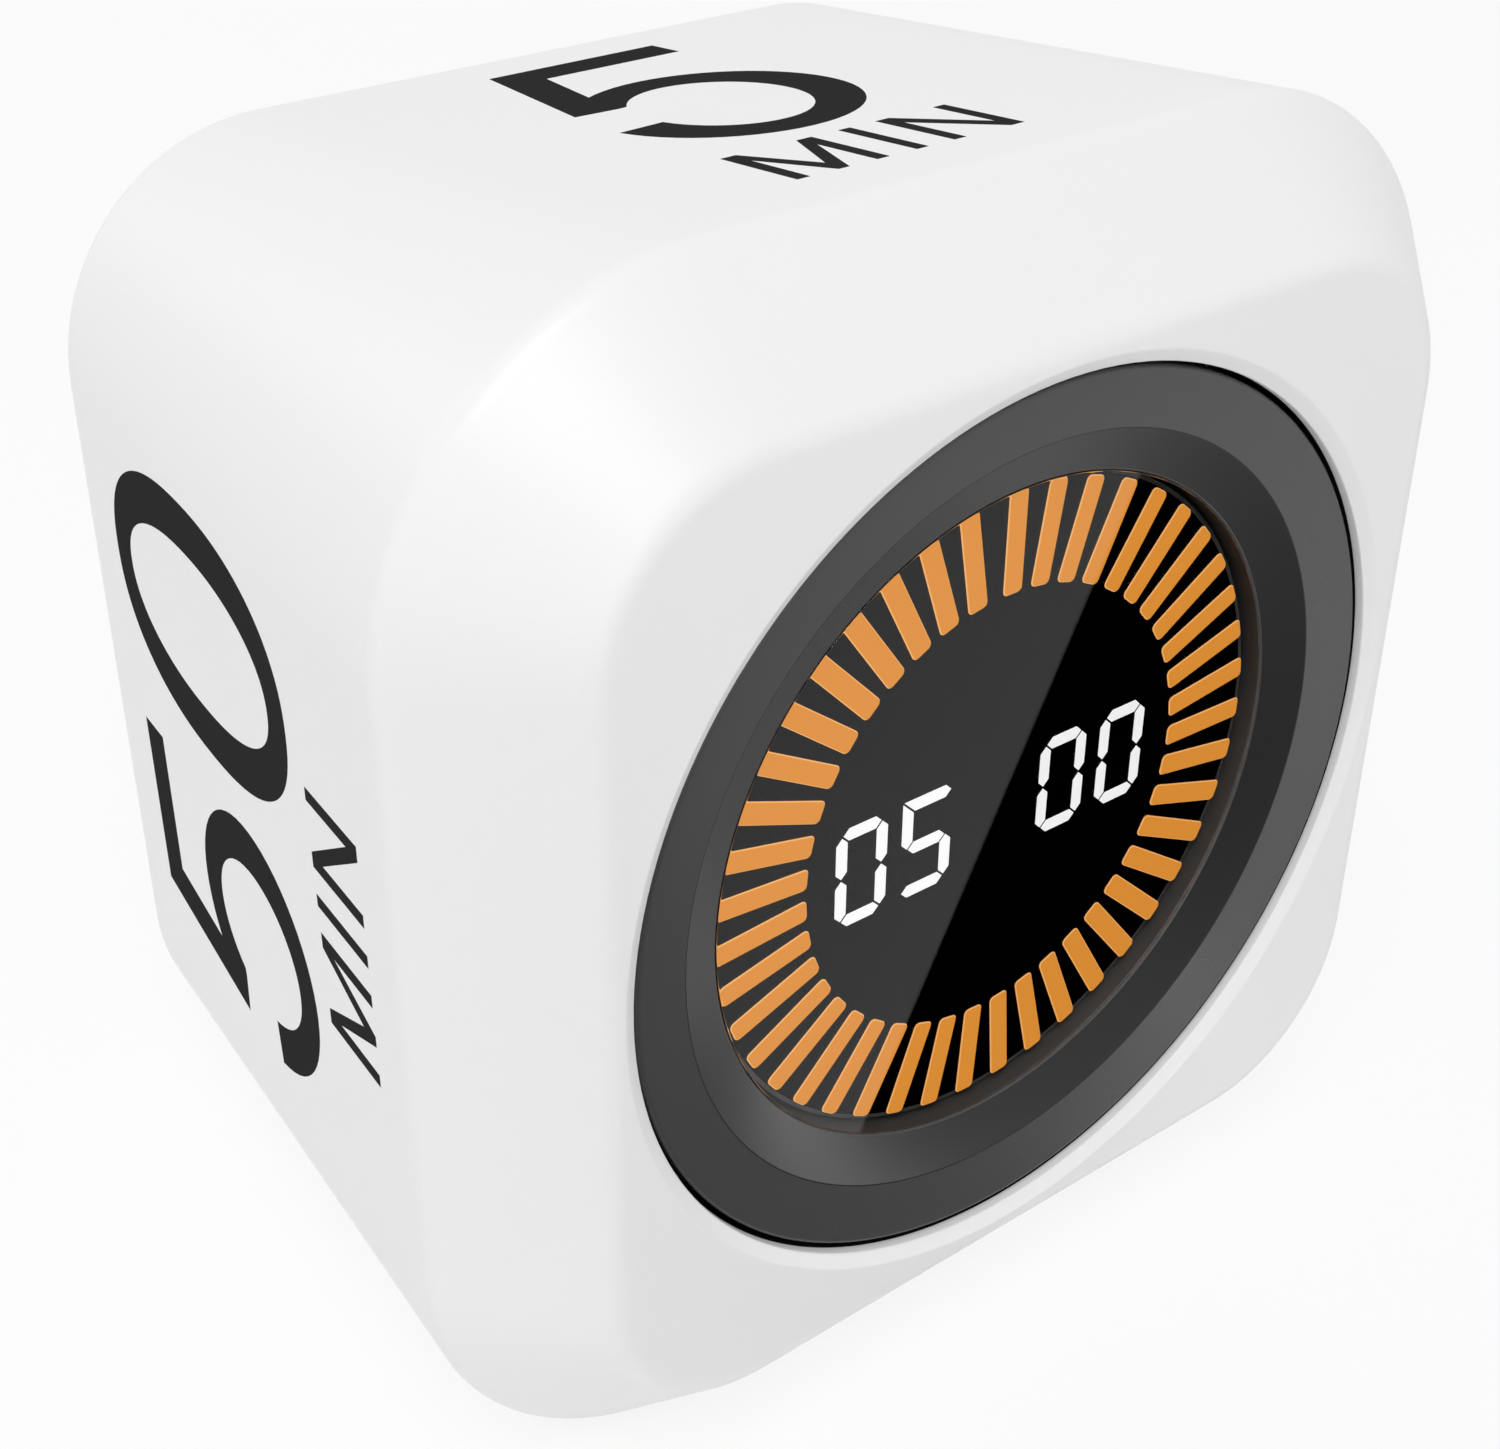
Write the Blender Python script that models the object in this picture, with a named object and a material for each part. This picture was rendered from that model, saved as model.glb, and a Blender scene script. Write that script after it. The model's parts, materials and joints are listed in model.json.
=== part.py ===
"""Cube timer: a drafted case with a round dial, a lit bar display and its works.

Everything is modelled square to the dial: X to the right, Y from the front face back
into the case, Z up. The whole timer then leans back on its drafted lower side, so that
this side lies flat on the ground. Sizes are in metres.
"""
import math

import bmesh
import bpy
from mathutils import Vector

# Case
CASE_WIDTH = 0.0600             # across the shoulders, its widest place
CASE_DEPTH = 0.0403             # front face to back face
SHOULDER_DEPTH = 0.0059         # front face to shoulders
SHOULDER_SPREAD_SHARE = 0.205   # how far a shoulder stands out past the front face, of the half width
BACK_TAPER_SHARE = 0.110        # how far a side draws in from shoulder to back, of the half width
FRONT_CORNER_SHARE = 0.348      # corner radii, of the half widths there
SHOULDER_CORNER_SHARE = 0.500
BACK_CORNER_SHARE = 0.4157
FRONT_EDGE_RADIUS = 0.0015
SHOULDER_EDGE_RADIUS = 0.0012
BACK_EDGE_RADIUS = 0.0008
CASE_WALL = 0.0020
COVER_THICKNESS = 0.0020

# Bore of the case and the flange that holds the dial
COUNTERSINK_DEPTH = 0.0008
BORE_DEPTH = 0.0050
FLANGE_THICKNESS = 0.0014
POCKET_LAND = 0.00015           # flat between the collar and the moulded-out corner pockets

# Sizes that go with the case's width, as shares of its half width
FRONT_BORDER_SHARE = 0.025      # front face between its edge and the countersink
COUNTERSINK_WIDTH_SHARE = 0.020
COLLAR_WALL_SHARE = 0.050
SLEEVE_WALL_SHARE = 0.050
GEAR_RIM_SHARE = 0.020          # from the gear's bore to the roots of its teeth
GLIDE_WIDTH_SHARE = 0.060
FRAME_TUBE_WALL_SHARE = 0.040
SIDE_BOSS_RADIUS_SHARE = 0.0667
CORNER_BOSS_RADIUS_SHARE = 0.0833
BOSS_INSET_SHARE = 0.1633       # corner boss, in from the cover's edge
POST_RADIUS_SHARE = 0.0733
POST_INSET_SHARE = 0.1467       # board post, in from the cover's edge
SCREW_RADIUS_SHARE = 0.0267
SCREW_HEAD_RADIUS_SHARE = 0.0533
ENCODER_SIZE_SHARE = 0.2333
SPEAKER_RADIUS_SHARE = 0.2667

# Clearances
FIT_GAP = 0.0003                # between pieces that touch
RUNNING_GAP = 0.0003            # between pieces that turn or slide
SLOT_GAP = 0.00015              # round a lit bar in its slot

# Dial
DIAL_BAND_SHARE = 0.1325        # outer flat band, from the rim in to the ridge, of the dial's radius
DIAL_CONE_SHARE = 0.1035        # from the ridge in to the display well, of the dial's radius
DIAL_RIM_DEPTH = 0.0006
DIAL_RIM_RADIUS = 0.0007
RIDGE_DEPTH = 0.0012
WELL_DEPTH = 0.00215
WELL_LIP_BACK = 0.0036
GEAR_TEETH = 62
PINION_TEETH = 9
GEAR_THICKNESS = 0.0015
GLIDE_THICKNESS = 0.0004
PINION_ANGLE = math.radians(-62.0)
ADDENDUM_SHARE = 0.85           # of the module
DEDENDUM_SHARE = 1.20           # of the module
TOOTH_TIP_SHARE = 0.22          # of the pitch angle
TOOTH_ROOT_SHARE = 0.54         # of the pitch angle

# Display
WINDOW_THICKNESS = 0.00045
SEGMENT_RISE = 0.00037          # how far lit bars stand out of the black mask
MASK_THICKNESS = 0.0006
GUIDE_THICKNESS = 0.0006
BAFFLE_THICKNESS = 0.0019
LED_HEIGHT = 0.0006
LED_LENGTH = 0.0016
LED_WIDTH = 0.0008
LED_BOARD_THICKNESS = 0.0010
BAR_COUNT = 43
ROW_SHARE = 0.995               # of a full turn; the gap left of the first bar is wider
BAR_LENGTH_SHARE = 0.306        # of the display's radius
BAR_WIDTH_SHARE = 0.684         # of the bars' pitch at their inner ends
BAR_MARGIN = 0.0002             # from the bars' outer ends to the mask's rim
GUIDE_LAND = 0.0003             # ring of the guide inside the bars
DIGIT_HEIGHT_SHARE = 0.478      # digits, as shares of the circle inside the bars
DIGIT_WIDTH_SHARE = 0.269
DIGIT_PITCH_SHARE = 0.342
PAIR_PITCH_SHARE = 1.081
DIGIT_SHIFT_SHARE = -0.018
DIGIT_RISE_SHARE = 0.012
SEGMENT_WIDTH_SHARE = 0.056
SEGMENT_GAP_SHARE = 0.011
SEGMENT_BEVEL_SHARE = 0.35      # of the segment's width
CELL_MARGIN_SHARE = 0.030       # white cell round each digit in the baffle

# Display frame
FRAME_THICKNESS = 0.0015
FRAME_CLEARANCE = 0.0006
FLEX_WINDOW_MARGIN = 0.0004
FLEX_MARGIN = 0.0010            # from the display's rim to its cable connector

# Screws and their bosses
SCREW_HEAD_HEIGHT = 0.0012
SCREW_LENGTH = 0.0060
CROSS_WIDTH = 0.0005
CROSS_LENGTH = 0.0020
CROSS_DEPTH = 0.0006
BOSS_HOLE_EXTRA = 0.0006        # pilot hole past the screw's tip
GEAR_CLEARANCE = 0.0006         # from the gear's tips to the side bosses
FRAME_SCREW_LENGTH = 0.0050

# Encoder
ENCODER_HEIGHT = 0.0035
PINION_SHAFT_RADIUS = 0.0010
PINION_SHAFT_REACH = 0.0015     # into the encoder

# Battery
BATTERY_WIDTH = 0.0300
BATTERY_HEIGHT = 0.0200
BATTERY_THICKNESS = 0.0060
BATTERY_EDGE = 0.0012
PAD_WIDTH = 0.0240
PAD_HEIGHT = 0.0160
PAD_THICKNESS = 0.0010
LEAD_RADIUS = 0.0006
LEAD_BOW = 0.0020

# Main board and what stands on it
BOARD_STANDOFF = 0.0077
BOARD_THICKNESS = 0.0016
BOARD_CLEARANCE = 0.0006
BOARD_SCREW_LENGTH = 0.0050
PROCESSOR_SIZE = 0.0070
SENSOR_SIZE = 0.0030
CHARGER_SIZE = 0.0040
CHIP_HEIGHT = 0.0009
CRYSTAL_WIDTH = 0.0032
CRYSTAL_HEIGHT = 0.0015
FLEX_CONNECTOR_WIDTH = 0.0090
FLEX_CONNECTOR_HEIGHT = 0.0026
FLEX_CONNECTOR_DEPTH = 0.0015
FLEX_WIDTH = 0.0070
FLEX_THICKNESS = 0.00025
FLEX_BOW = 0.0009
SOCKET_WIDTH = 0.0055
SOCKET_HEIGHT = 0.0038
SOCKET_DEPTH = 0.0030
PROCESSOR_SHARES = (-0.33, 0.16)    # places on the board, of the cover's half width
SENSOR_SHARES = (0.29, 0.25)
CHARGER_SHARES = (0.25, -0.33)
CRYSTAL_SHARES = (-0.33, -0.16)
SOCKET_SHARES = (0.33, -0.61)

# Charging port, in the back
PORT_WIDTH = 0.0090
PORT_HEIGHT = 0.0032
PORT_WALL = 0.0003
PORT_TONGUE_WIDTH = 0.0067
PORT_TONGUE_HEIGHT = 0.0007
PORT_TONGUE_STEP = 0.0010       # how far the tongue stops short of the mouth
PORT_FLOOR = 0.0030             # solid rear part of the port
PORT_STEP = 0.0005              # how far the mouth lies inside the back face
PORT_SHARES = (0.0, -0.53)      # place in the cover, of its half width

# Mode slider, in the back
SWITCH_WIDTH = 0.0090
SWITCH_HEIGHT = 0.0036
SWITCH_DEPTH = 0.0035
SLIDER_STEM_WIDTH = 0.0020
SLIDER_STEM_HEIGHT = 0.0016
SLIDER_CAP_WIDTH = 0.0044
SLIDER_CAP_HEIGHT = 0.0030
SLIDER_CAP_THICKNESS = 0.0008
SLIDER_TRAVEL = 0.0020          # each way from the middle
SLIDER_RIB_COUNT = 4
SLIDER_RIB_WIDTH = 0.0003
SLIDER_RIB_HEIGHT = 0.0002
TROUGH_DEPTH = 0.0012
TROUGH_MARGIN = 0.0004
SLIDER_SHARES = (0.45, 0.37)

# Set button, in the back
TACT_SIZE = 0.0060
TACT_HEIGHT = 0.0035
BUTTON_RADIUS = 0.0032
BUTTON_FLANGE = 0.0009
BUTTON_FLANGE_THICKNESS = 0.0008
BUTTON_STEM_RADIUS = 0.0012
BUTTON_TRAVEL = 0.0005
BUTTON_STEP = 0.0002            # how far the cap lies inside the back face
BUTTON_EDGE = 0.0003
BUTTON_SHARES = (0.49, -0.25)

# Speaker, behind the back
SPEAKER_HEIGHT = 0.0039
SPEAKER_MAGNET_SHARE = 0.625     # magnet's radius, of the speaker's radius
SPEAKER_RIM_HEIGHT = 0.0015
GASKET_THICKNESS = 0.0008
GASKET_WIDTH = 0.0012
CONTACT_RADIUS = 0.0008
CONTACT_SPREAD_SHARE = 0.375    # of the speaker's radius
SOUND_HOLE_RADIUS = 0.0007
SOUND_HOLE_PITCH = 0.0026
SPEAKER_SHARES = (-0.39, 0.33)

# How finely round shapes are cut
CASE_POINTS = 72
RING_POINTS = 64
SMALL_POINTS = 16
TINY_POINTS = 10
EDGE_STEPS = 3
MIDDLE_SHARE = 0.48             # of an edge that one of its two fillets may take
END_SHARE = 0.90                # of an edge that its only fillet may take
CUT_OVERRUN = 0.0010
SHARP_ANGLE = math.radians(35.0)


def at_shares(shares, size):
    """A place in the XZ plane, given as shares of a size."""
    return (shares[0] * size, shares[1] * size)


# Worked out from the sizes above
case_half = CASE_WIDTH / 2
shoulder_spread = SHOULDER_SPREAD_SHARE * case_half
back_taper = BACK_TAPER_SHARE * case_half
front_half = case_half - shoulder_spread
back_half = case_half - back_taper
front_corner = FRONT_CORNER_SHARE * front_half
shoulder_corner = SHOULDER_CORNER_SHARE * case_half
back_corner = BACK_CORNER_SHARE * back_half
draft = math.atan2(back_taper, CASE_DEPTH - SHOULDER_DEPTH)
front_border = FRONT_BORDER_SHARE * case_half
countersink_width = COUNTERSINK_WIDTH_SHARE * case_half
collar_wall = COLLAR_WALL_SHARE * case_half
sleeve_wall = SLEEVE_WALL_SHARE * case_half
gear_rim = GEAR_RIM_SHARE * case_half
glide_width = GLIDE_WIDTH_SHARE * case_half
frame_tube_wall = FRAME_TUBE_WALL_SHARE * case_half
side_boss_radius = SIDE_BOSS_RADIUS_SHARE * case_half
corner_boss_radius = CORNER_BOSS_RADIUS_SHARE * case_half
boss_inset = BOSS_INSET_SHARE * case_half
post_radius = POST_RADIUS_SHARE * case_half
post_inset = POST_INSET_SHARE * case_half
screw_radius = SCREW_RADIUS_SHARE * case_half
screw_head_radius = SCREW_HEAD_RADIUS_SHARE * case_half
encoder_size = ENCODER_SIZE_SHARE * case_half
speaker_radius = SPEAKER_RADIUS_SHARE * case_half
lip_radius = front_half - front_border
bore_radius = lip_radius - countersink_width
dial_radius = bore_radius - RUNNING_GAP
ridge_radius = dial_radius * (1 - DIAL_BAND_SHARE)
well_radius = ridge_radius - DIAL_CONE_SHARE * dial_radius
display_radius = well_radius - RUNNING_GAP
frame_tube_inner = display_radius + FIT_GAP
frame_tube_outer = frame_tube_inner + frame_tube_wall
sleeve_inner = frame_tube_outer + RUNNING_GAP
sleeve_outer = sleeve_inner + sleeve_wall
flange_radius = sleeve_outer + RUNNING_GAP
flange_back = BORE_DEPTH + FLANGE_THICKNESS
collar_radius = bore_radius + collar_wall
glide_front = flange_back + FIT_GAP
gear_front = glide_front + GLIDE_THICKNESS + FIT_GAP
gear_back = gear_front + GEAR_THICKNESS
gear_bore_radius = sleeve_outer + FIT_GAP
gear_pitch_radius = (gear_bore_radius + gear_rim) / (1 - 2 * DEDENDUM_SHARE / GEAR_TEETH)
tooth_module = 2 * gear_pitch_radius / GEAR_TEETH
pinion_pitch_radius = PINION_TEETH * tooth_module / 2
pinion_distance = gear_pitch_radius + pinion_pitch_radius
pinion_place = (pinion_distance * math.cos(PINION_ANGLE), pinion_distance * math.sin(PINION_ANGLE))
gear_tip_radius = gear_pitch_radius + ADDENDUM_SHARE * tooth_module

window_back = WELL_DEPTH + WINDOW_THICKNESS
segment_front = window_back + FIT_GAP
mask_front = segment_front + SEGMENT_RISE
mask_back = mask_front + MASK_THICKNESS
guide_front = mask_back + FIT_GAP
guide_back = guide_front + GUIDE_THICKNESS
baffle_front = guide_back + FIT_GAP
baffle_back = baffle_front + BAFFLE_THICKNESS
led_front = baffle_back + FIT_GAP
led_board_front = led_front + LED_HEIGHT
led_board_back = led_board_front + LED_BOARD_THICKNESS
frame_front = max(led_board_back, gear_back) + FIT_GAP
frame_back = frame_front + FRAME_THICKNESS
frame_tube_front = WELL_LIP_BACK + RUNNING_GAP
bar_outer = display_radius - BAR_MARGIN
bar_length = BAR_LENGTH_SHARE * display_radius
bar_inner = bar_outer - bar_length
bar_step = ROW_SHARE * 2 * math.pi / BAR_COUNT
bar_width = BAR_WIDTH_SHARE * bar_inner * bar_step
flex_place = (0.0, display_radius - FLEX_MARGIN - FLEX_CONNECTOR_HEIGHT / 2)

cover_front = CASE_DEPTH - COVER_THICKNESS
opening_half = back_half - CASE_WALL
cover_half = opening_half - FIT_GAP
corner_boss_place = cover_half - boss_inset
side_boss_place = gear_tip_radius + GEAR_CLEARANCE + side_boss_radius
screw_hole_radius = screw_radius + FIT_GAP
board_back = cover_front - BOARD_STANDOFF
board_front = board_back - BOARD_THICKNESS
back_parts_front = board_back + FIT_GAP
front_parts_back = board_front - FIT_GAP
post_place = cover_half - post_inset
socket_place = at_shares(SOCKET_SHARES, cover_half)
port_place = at_shares(PORT_SHARES, cover_half)
slider_place = at_shares(SLIDER_SHARES, cover_half)
button_place = at_shares(BUTTON_SHARES, cover_half)
speaker_place = at_shares(SPEAKER_SHARES, cover_half)
magnet_radius = SPEAKER_MAGNET_SHARE * speaker_radius
contact_spread = CONTACT_SPREAD_SHARE * speaker_radius

CORNERS = ((1, 1), (-1, 1), (-1, -1), (1, -1))
SIDES = ((1, 0), (0, 1), (-1, 0), (0, -1))


def remove_everything():
    for thing in list(bpy.data.objects):
        bpy.data.objects.remove(thing, do_unlink=True)


def make_finish(name, colour, roughness, metallic=0.0):
    finish = bpy.data.materials.new(name)
    finish.use_nodes = True
    shader = finish.node_tree.nodes["Principled BSDF"]
    shader.inputs["Base Color"].default_value = (*colour, 1.0)
    shader.inputs["Roughness"].default_value = roughness
    shader.inputs["Metallic"].default_value = metallic
    return finish


# Case profile: half width and corner radius at a depth
def half_at(depth):
    if depth < SHOULDER_DEPTH:
        return front_half + shoulder_spread * depth / SHOULDER_DEPTH
    return case_half - math.tan(draft) * (depth - SHOULDER_DEPTH)


def corner_at(depth):
    if depth < SHOULDER_DEPTH:
        share = depth / SHOULDER_DEPTH
        return front_corner + share * (shoulder_corner - front_corner)
    share = (depth - SHOULDER_DEPTH) / (CASE_DEPTH - SHOULDER_DEPTH)
    return shoulder_corner + share * (back_corner - shoulder_corner)


# Outlines in the XZ plane, as lists of (x, z)
def circle_loop(radius, count, place=(0.0, 0.0)):
    turns = [2 * math.pi * step / count for step in range(count)]
    return [(place[0] + radius * math.cos(turn), place[1] + radius * math.sin(turn)) for turn in turns]


def rectangle_loop(width, height, place=(0.0, 0.0), turn=0.0):
    loop = []
    for across, up in CORNERS:
        x, z = across * width / 2, up * height / 2
        turned_x = x * math.cos(turn) - z * math.sin(turn)
        turned_z = x * math.sin(turn) + z * math.cos(turn)
        loop.append((place[0] + turned_x, place[1] + turned_z))
    return loop


def rounded_square_loop(half, radius, count):
    """Points where rays at even angles meet a square with rounded corners."""
    loop = []
    centre = half - radius
    for step in range(count):
        turn = 2 * math.pi * step / count
        across, up = math.cos(turn), math.sin(turn)
        reach = half / max(abs(across), abs(up))
        if min(abs(across), abs(up)) * reach > centre:
            along = centre * (abs(across) + abs(up))
            reach = along + math.sqrt(along * along - 2 * centre * centre + radius * radius)
        loop.append((across * reach, up * reach))
    return loop


def stadium_loop(width, height, place=(0.0, 0.0), steps=EDGE_STEPS):
    loop = []
    for side, first in ((1, -math.pi / 2), (-1, math.pi / 2)):
        for step in range(steps * 2 + 1):
            turn = first + math.pi * step / (steps * 2)
            x = side * (width - height) / 2 + height / 2 * math.cos(turn)
            loop.append((place[0] + x, place[1] + height / 2 * math.sin(turn)))
    return loop


def gear_loop(teeth, turn):
    """Straight-sided teeth, four points each, the first tooth centred at the given angle."""
    pitch_radius = teeth * tooth_module / 2
    tip = pitch_radius + ADDENDUM_SHARE * tooth_module
    root = pitch_radius - DEDENDUM_SHARE * tooth_module
    pitch = 2 * math.pi / teeth
    loop = []
    for tooth in range(teeth):
        middle = turn + tooth * pitch
        for radius, share in ((root, -TOOTH_ROOT_SHARE), (tip, -TOOTH_TIP_SHARE),
                              (tip, TOOTH_TIP_SHARE), (root, TOOTH_ROOT_SHARE)):
            angle = middle + share * pitch / 2
            loop.append((radius * math.cos(angle), radius * math.sin(angle)))
    return loop


def rounded_profile(points, radii, closed=False):
    """Replace each corner of a profile by an arc of its radius, no longer than its edges allow."""
    count = len(points)
    result = []
    for index in range(count):
        corner = Vector(points[index])
        if not radii[index] or (not closed and index in (0, count - 1)):
            result.append(tuple(corner))
            continue
        before = Vector(points[index - 1]) - corner
        after = Vector(points[(index + 1) % count]) - corner
        share_before = END_SHARE if not closed and index == 1 else MIDDLE_SHARE
        share_after = END_SHARE if not closed and index == count - 2 else MIDDLE_SHARE
        half_angle = before.angle(after) / 2
        tangent = min(radii[index] / math.tan(half_angle),
                      share_before * before.length, share_after * after.length)
        radius = tangent * math.tan(half_angle)
        bisector = (before.normalized() + after.normalized()).normalized()
        centre = corner + bisector * radius / math.sin(half_angle)
        start = corner + before.normalized() * tangent - centre
        end = corner + after.normalized() * tangent - centre
        sweep = start.angle_signed(end)
        for step in range(EDGE_STEPS + 1):
            turn = -sweep * step / EDGE_STEPS
            x = start.x * math.cos(turn) - start.y * math.sin(turn)
            y = start.x * math.sin(turn) + start.y * math.cos(turn)
            result.append((centre.x + x, centre.y + y))
    return result


# Solids, each added to a bmesh
def add_loft(mesh, rings):
    """Close a ring of rings into one solid, each ring joined to the next."""
    rows = [[mesh.verts.new(point) for point in ring] for ring in rings]
    for index, row in enumerate(rows):
        following = rows[(index + 1) % len(rows)]
        for step in range(len(row)):
            after = (step + 1) % len(row)
            mesh.faces.new((row[step], row[after], following[after], following[step]))


def add_turned(mesh, profile, count, place=(0.0, 0.0)):
    """Turn a closed (radius, depth) profile about the depth axis; radius 0 makes a pole."""
    rows = []
    for radius, depth in profile:
        if radius == 0:
            rows.append([mesh.verts.new((place[0], depth, place[1]))])
        else:
            loop = circle_loop(radius, count, place)
            rows.append([mesh.verts.new((x, depth, z)) for x, z in loop])
    for index, row in enumerate(rows):
        following = rows[(index + 1) % len(rows)]
        for step in range(count):
            after = (step + 1) % count
            corners = [row[step % len(row)], row[after % len(row)],
                       following[after % len(following)], following[step % len(following)]]
            unique = list(dict.fromkeys(corners))
            if len(unique) > 2:
                mesh.faces.new(unique)


def add_prism(mesh, loops, front, back):
    """Fill an outline and its holes, and extrude the fill from front to back."""
    edges = []
    for loop in loops:
        row = [mesh.verts.new((x, front, z)) for x, z in loop]
        edges += [mesh.edges.new((row[step - 1], row[step])) for step in range(len(row))]
    filled = bmesh.ops.triangle_fill(mesh, use_beauty=True, edges=edges)
    faces = [item for item in filled["geom"] if isinstance(item, bmesh.types.BMFace)]
    extruded = bmesh.ops.extrude_face_region(mesh, geom=faces)
    moved = [item for item in extruded["geom"] if isinstance(item, bmesh.types.BMVert)]
    bmesh.ops.translate(mesh, verts=moved, vec=(0.0, back - front, 0.0))


def add_cylinder(mesh, radius, front, back, count, place=(0.0, 0.0)):
    add_turned(mesh, [(0, front), (radius, front), (radius, back), (0, back)], count, place)


def add_box(mesh, width, height, front, back, place=(0.0, 0.0)):
    add_prism(mesh, [rectangle_loop(width, height, place)], front, back)


def make_piece(name, mesh, finish=None):
    bmesh.ops.recalc_face_normals(mesh, faces=mesh.faces)
    data = bpy.data.meshes.new(name)
    mesh.to_mesh(data)
    mesh.free()
    data.shade_smooth()
    data.set_sharp_from_angle(angle=SHARP_ANGLE)
    if finish:
        data.materials.append(finish)
    piece = bpy.data.objects.new(name, data)
    bpy.context.collection.objects.link(piece)
    return piece


def combine(piece, mesh, operation):
    """Join a second mesh to a piece, or cut it away, and keep the result."""
    tool = make_piece("tool", mesh)
    change = piece.modifiers.new("combine", "BOOLEAN")
    change.operation = operation
    change.object = tool
    graph = bpy.context.evaluated_depsgraph_get()
    result = bpy.data.meshes.new_from_object(piece.evaluated_get(graph))
    piece.modifiers.clear()
    old = piece.data
    piece.data = result
    bpy.data.meshes.remove(old)
    result.name = piece.name
    bpy.data.objects.remove(tool, do_unlink=True)


def place_piece(piece, place, depth=0.0):
    piece.location = (place[0], depth, place[1])


# Case
def side_foot_at(reach):
    """Depth of a side boss's foot, half a wall under the outer face of the case."""
    band_depth = (reach - front_half) * SHOULDER_DEPTH / shoulder_spread
    return max(band_depth, COUNTERSINK_DEPTH) + CASE_WALL / 2


def add_side_boss(mesh, across, up):
    place = (across * side_boss_place, up * side_boss_place)
    back = frame_front - FIT_GAP
    loop = circle_loop(side_boss_radius, SMALL_POINTS, place)
    foot = [mesh.verts.new((x, side_foot_at(across * x + up * z), z)) for x, z in loop]
    top = [mesh.verts.new((x, back, z)) for x, z in loop]
    middle = mesh.verts.new((place[0], side_foot_at(side_boss_place), place[1]))
    for step in range(SMALL_POINTS):
        after = (step + 1) % SMALL_POINTS
        mesh.faces.new((foot[step], foot[after], top[after], top[step]))
        mesh.faces.new((middle, foot[after], foot[step]))
    mesh.faces.new(top)


def make_front_shell(finish):
    outer = rounded_profile(
        [(lip_radius, 0.0), (front_half, 0.0), (case_half, SHOULDER_DEPTH),
         (back_half, CASE_DEPTH), (opening_half, CASE_DEPTH)],
        [0, FRONT_EDGE_RADIUS, SHOULDER_EDGE_RADIUS, BACK_EDGE_RADIUS, 0])
    rings = [ring_at(circle_loop(lip_radius, CASE_POINTS), 0.0)]
    for half, depth in outer[1:-1]:
        rings.append(ring_at(rounded_square_loop(half, corner_at(depth), CASE_POINTS), depth))
    inner_corner = corner_at(CASE_DEPTH) - CASE_WALL
    rings.append(ring_at(rounded_square_loop(opening_half, inner_corner, CASE_POINTS), CASE_DEPTH))

    # inside of the chamfered band, one wall thickness in from it
    band = Vector((shoulder_spread, SHOULDER_DEPTH))
    inward = Vector((-band.y, band.x)).normalized() * CASE_WALL
    start = Vector((front_half, 0.0)) + inward
    slope = math.tan(draft)
    along = (case_half - CASE_WALL + slope * (SHOULDER_DEPTH - start.y) - start.x) / (band.x + slope * band.y)
    shoulder = start + band * along
    pocket_half = collar_radius + POCKET_LAND
    pocket_depth = start.y + (pocket_half - start.x) * band.y / band.x
    for half, depth in ((shoulder.x, shoulder.y), (pocket_half, pocket_depth)):
        corner = corner_at(depth) - CASE_WALL
        rings.append(ring_at(rounded_square_loop(half, corner, CASE_POINTS), depth))
    for radius, depth in ((collar_radius, pocket_depth), (collar_radius, flange_back),
                          (flange_radius, flange_back), (flange_radius, BORE_DEPTH),
                          (bore_radius, BORE_DEPTH), (bore_radius, COUNTERSINK_DEPTH)):
        rings.append(ring_at(circle_loop(radius, CASE_POINTS), depth))
    mesh = bmesh.new()
    add_loft(mesh, rings)
    shell = make_piece("front_shell", mesh, finish)

    mesh = bmesh.new()
    for across, up in CORNERS:
        place = (across * corner_boss_place, up * corner_boss_place)
        add_cylinder(mesh, corner_boss_radius, pocket_depth - CASE_WALL / 2, cover_front - FIT_GAP,
                     SMALL_POINTS, place)
    for across, up in SIDES:
        add_side_boss(mesh, across, up)
    combine(shell, mesh, "UNION")

    mesh = bmesh.new()
    for across, up in CORNERS:
        place = (across * corner_boss_place, up * corner_boss_place)
        tip = CASE_DEPTH - SCREW_HEAD_HEIGHT - FIT_GAP - SCREW_LENGTH - BOSS_HOLE_EXTRA
        add_cylinder(mesh, screw_hole_radius, tip, cover_front + CUT_OVERRUN, TINY_POINTS, place)
    for across, up in SIDES:
        place = (across * side_boss_place, up * side_boss_place)
        tip = frame_back + FIT_GAP - FRAME_SCREW_LENGTH - BOSS_HOLE_EXTRA
        add_cylinder(mesh, screw_hole_radius, tip, frame_front + CUT_OVERRUN, TINY_POINTS, place)
    combine(shell, mesh, "DIFFERENCE")
    return shell


def ring_at(loop, depth):
    return [(x, depth, z) for x, z in loop]


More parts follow.
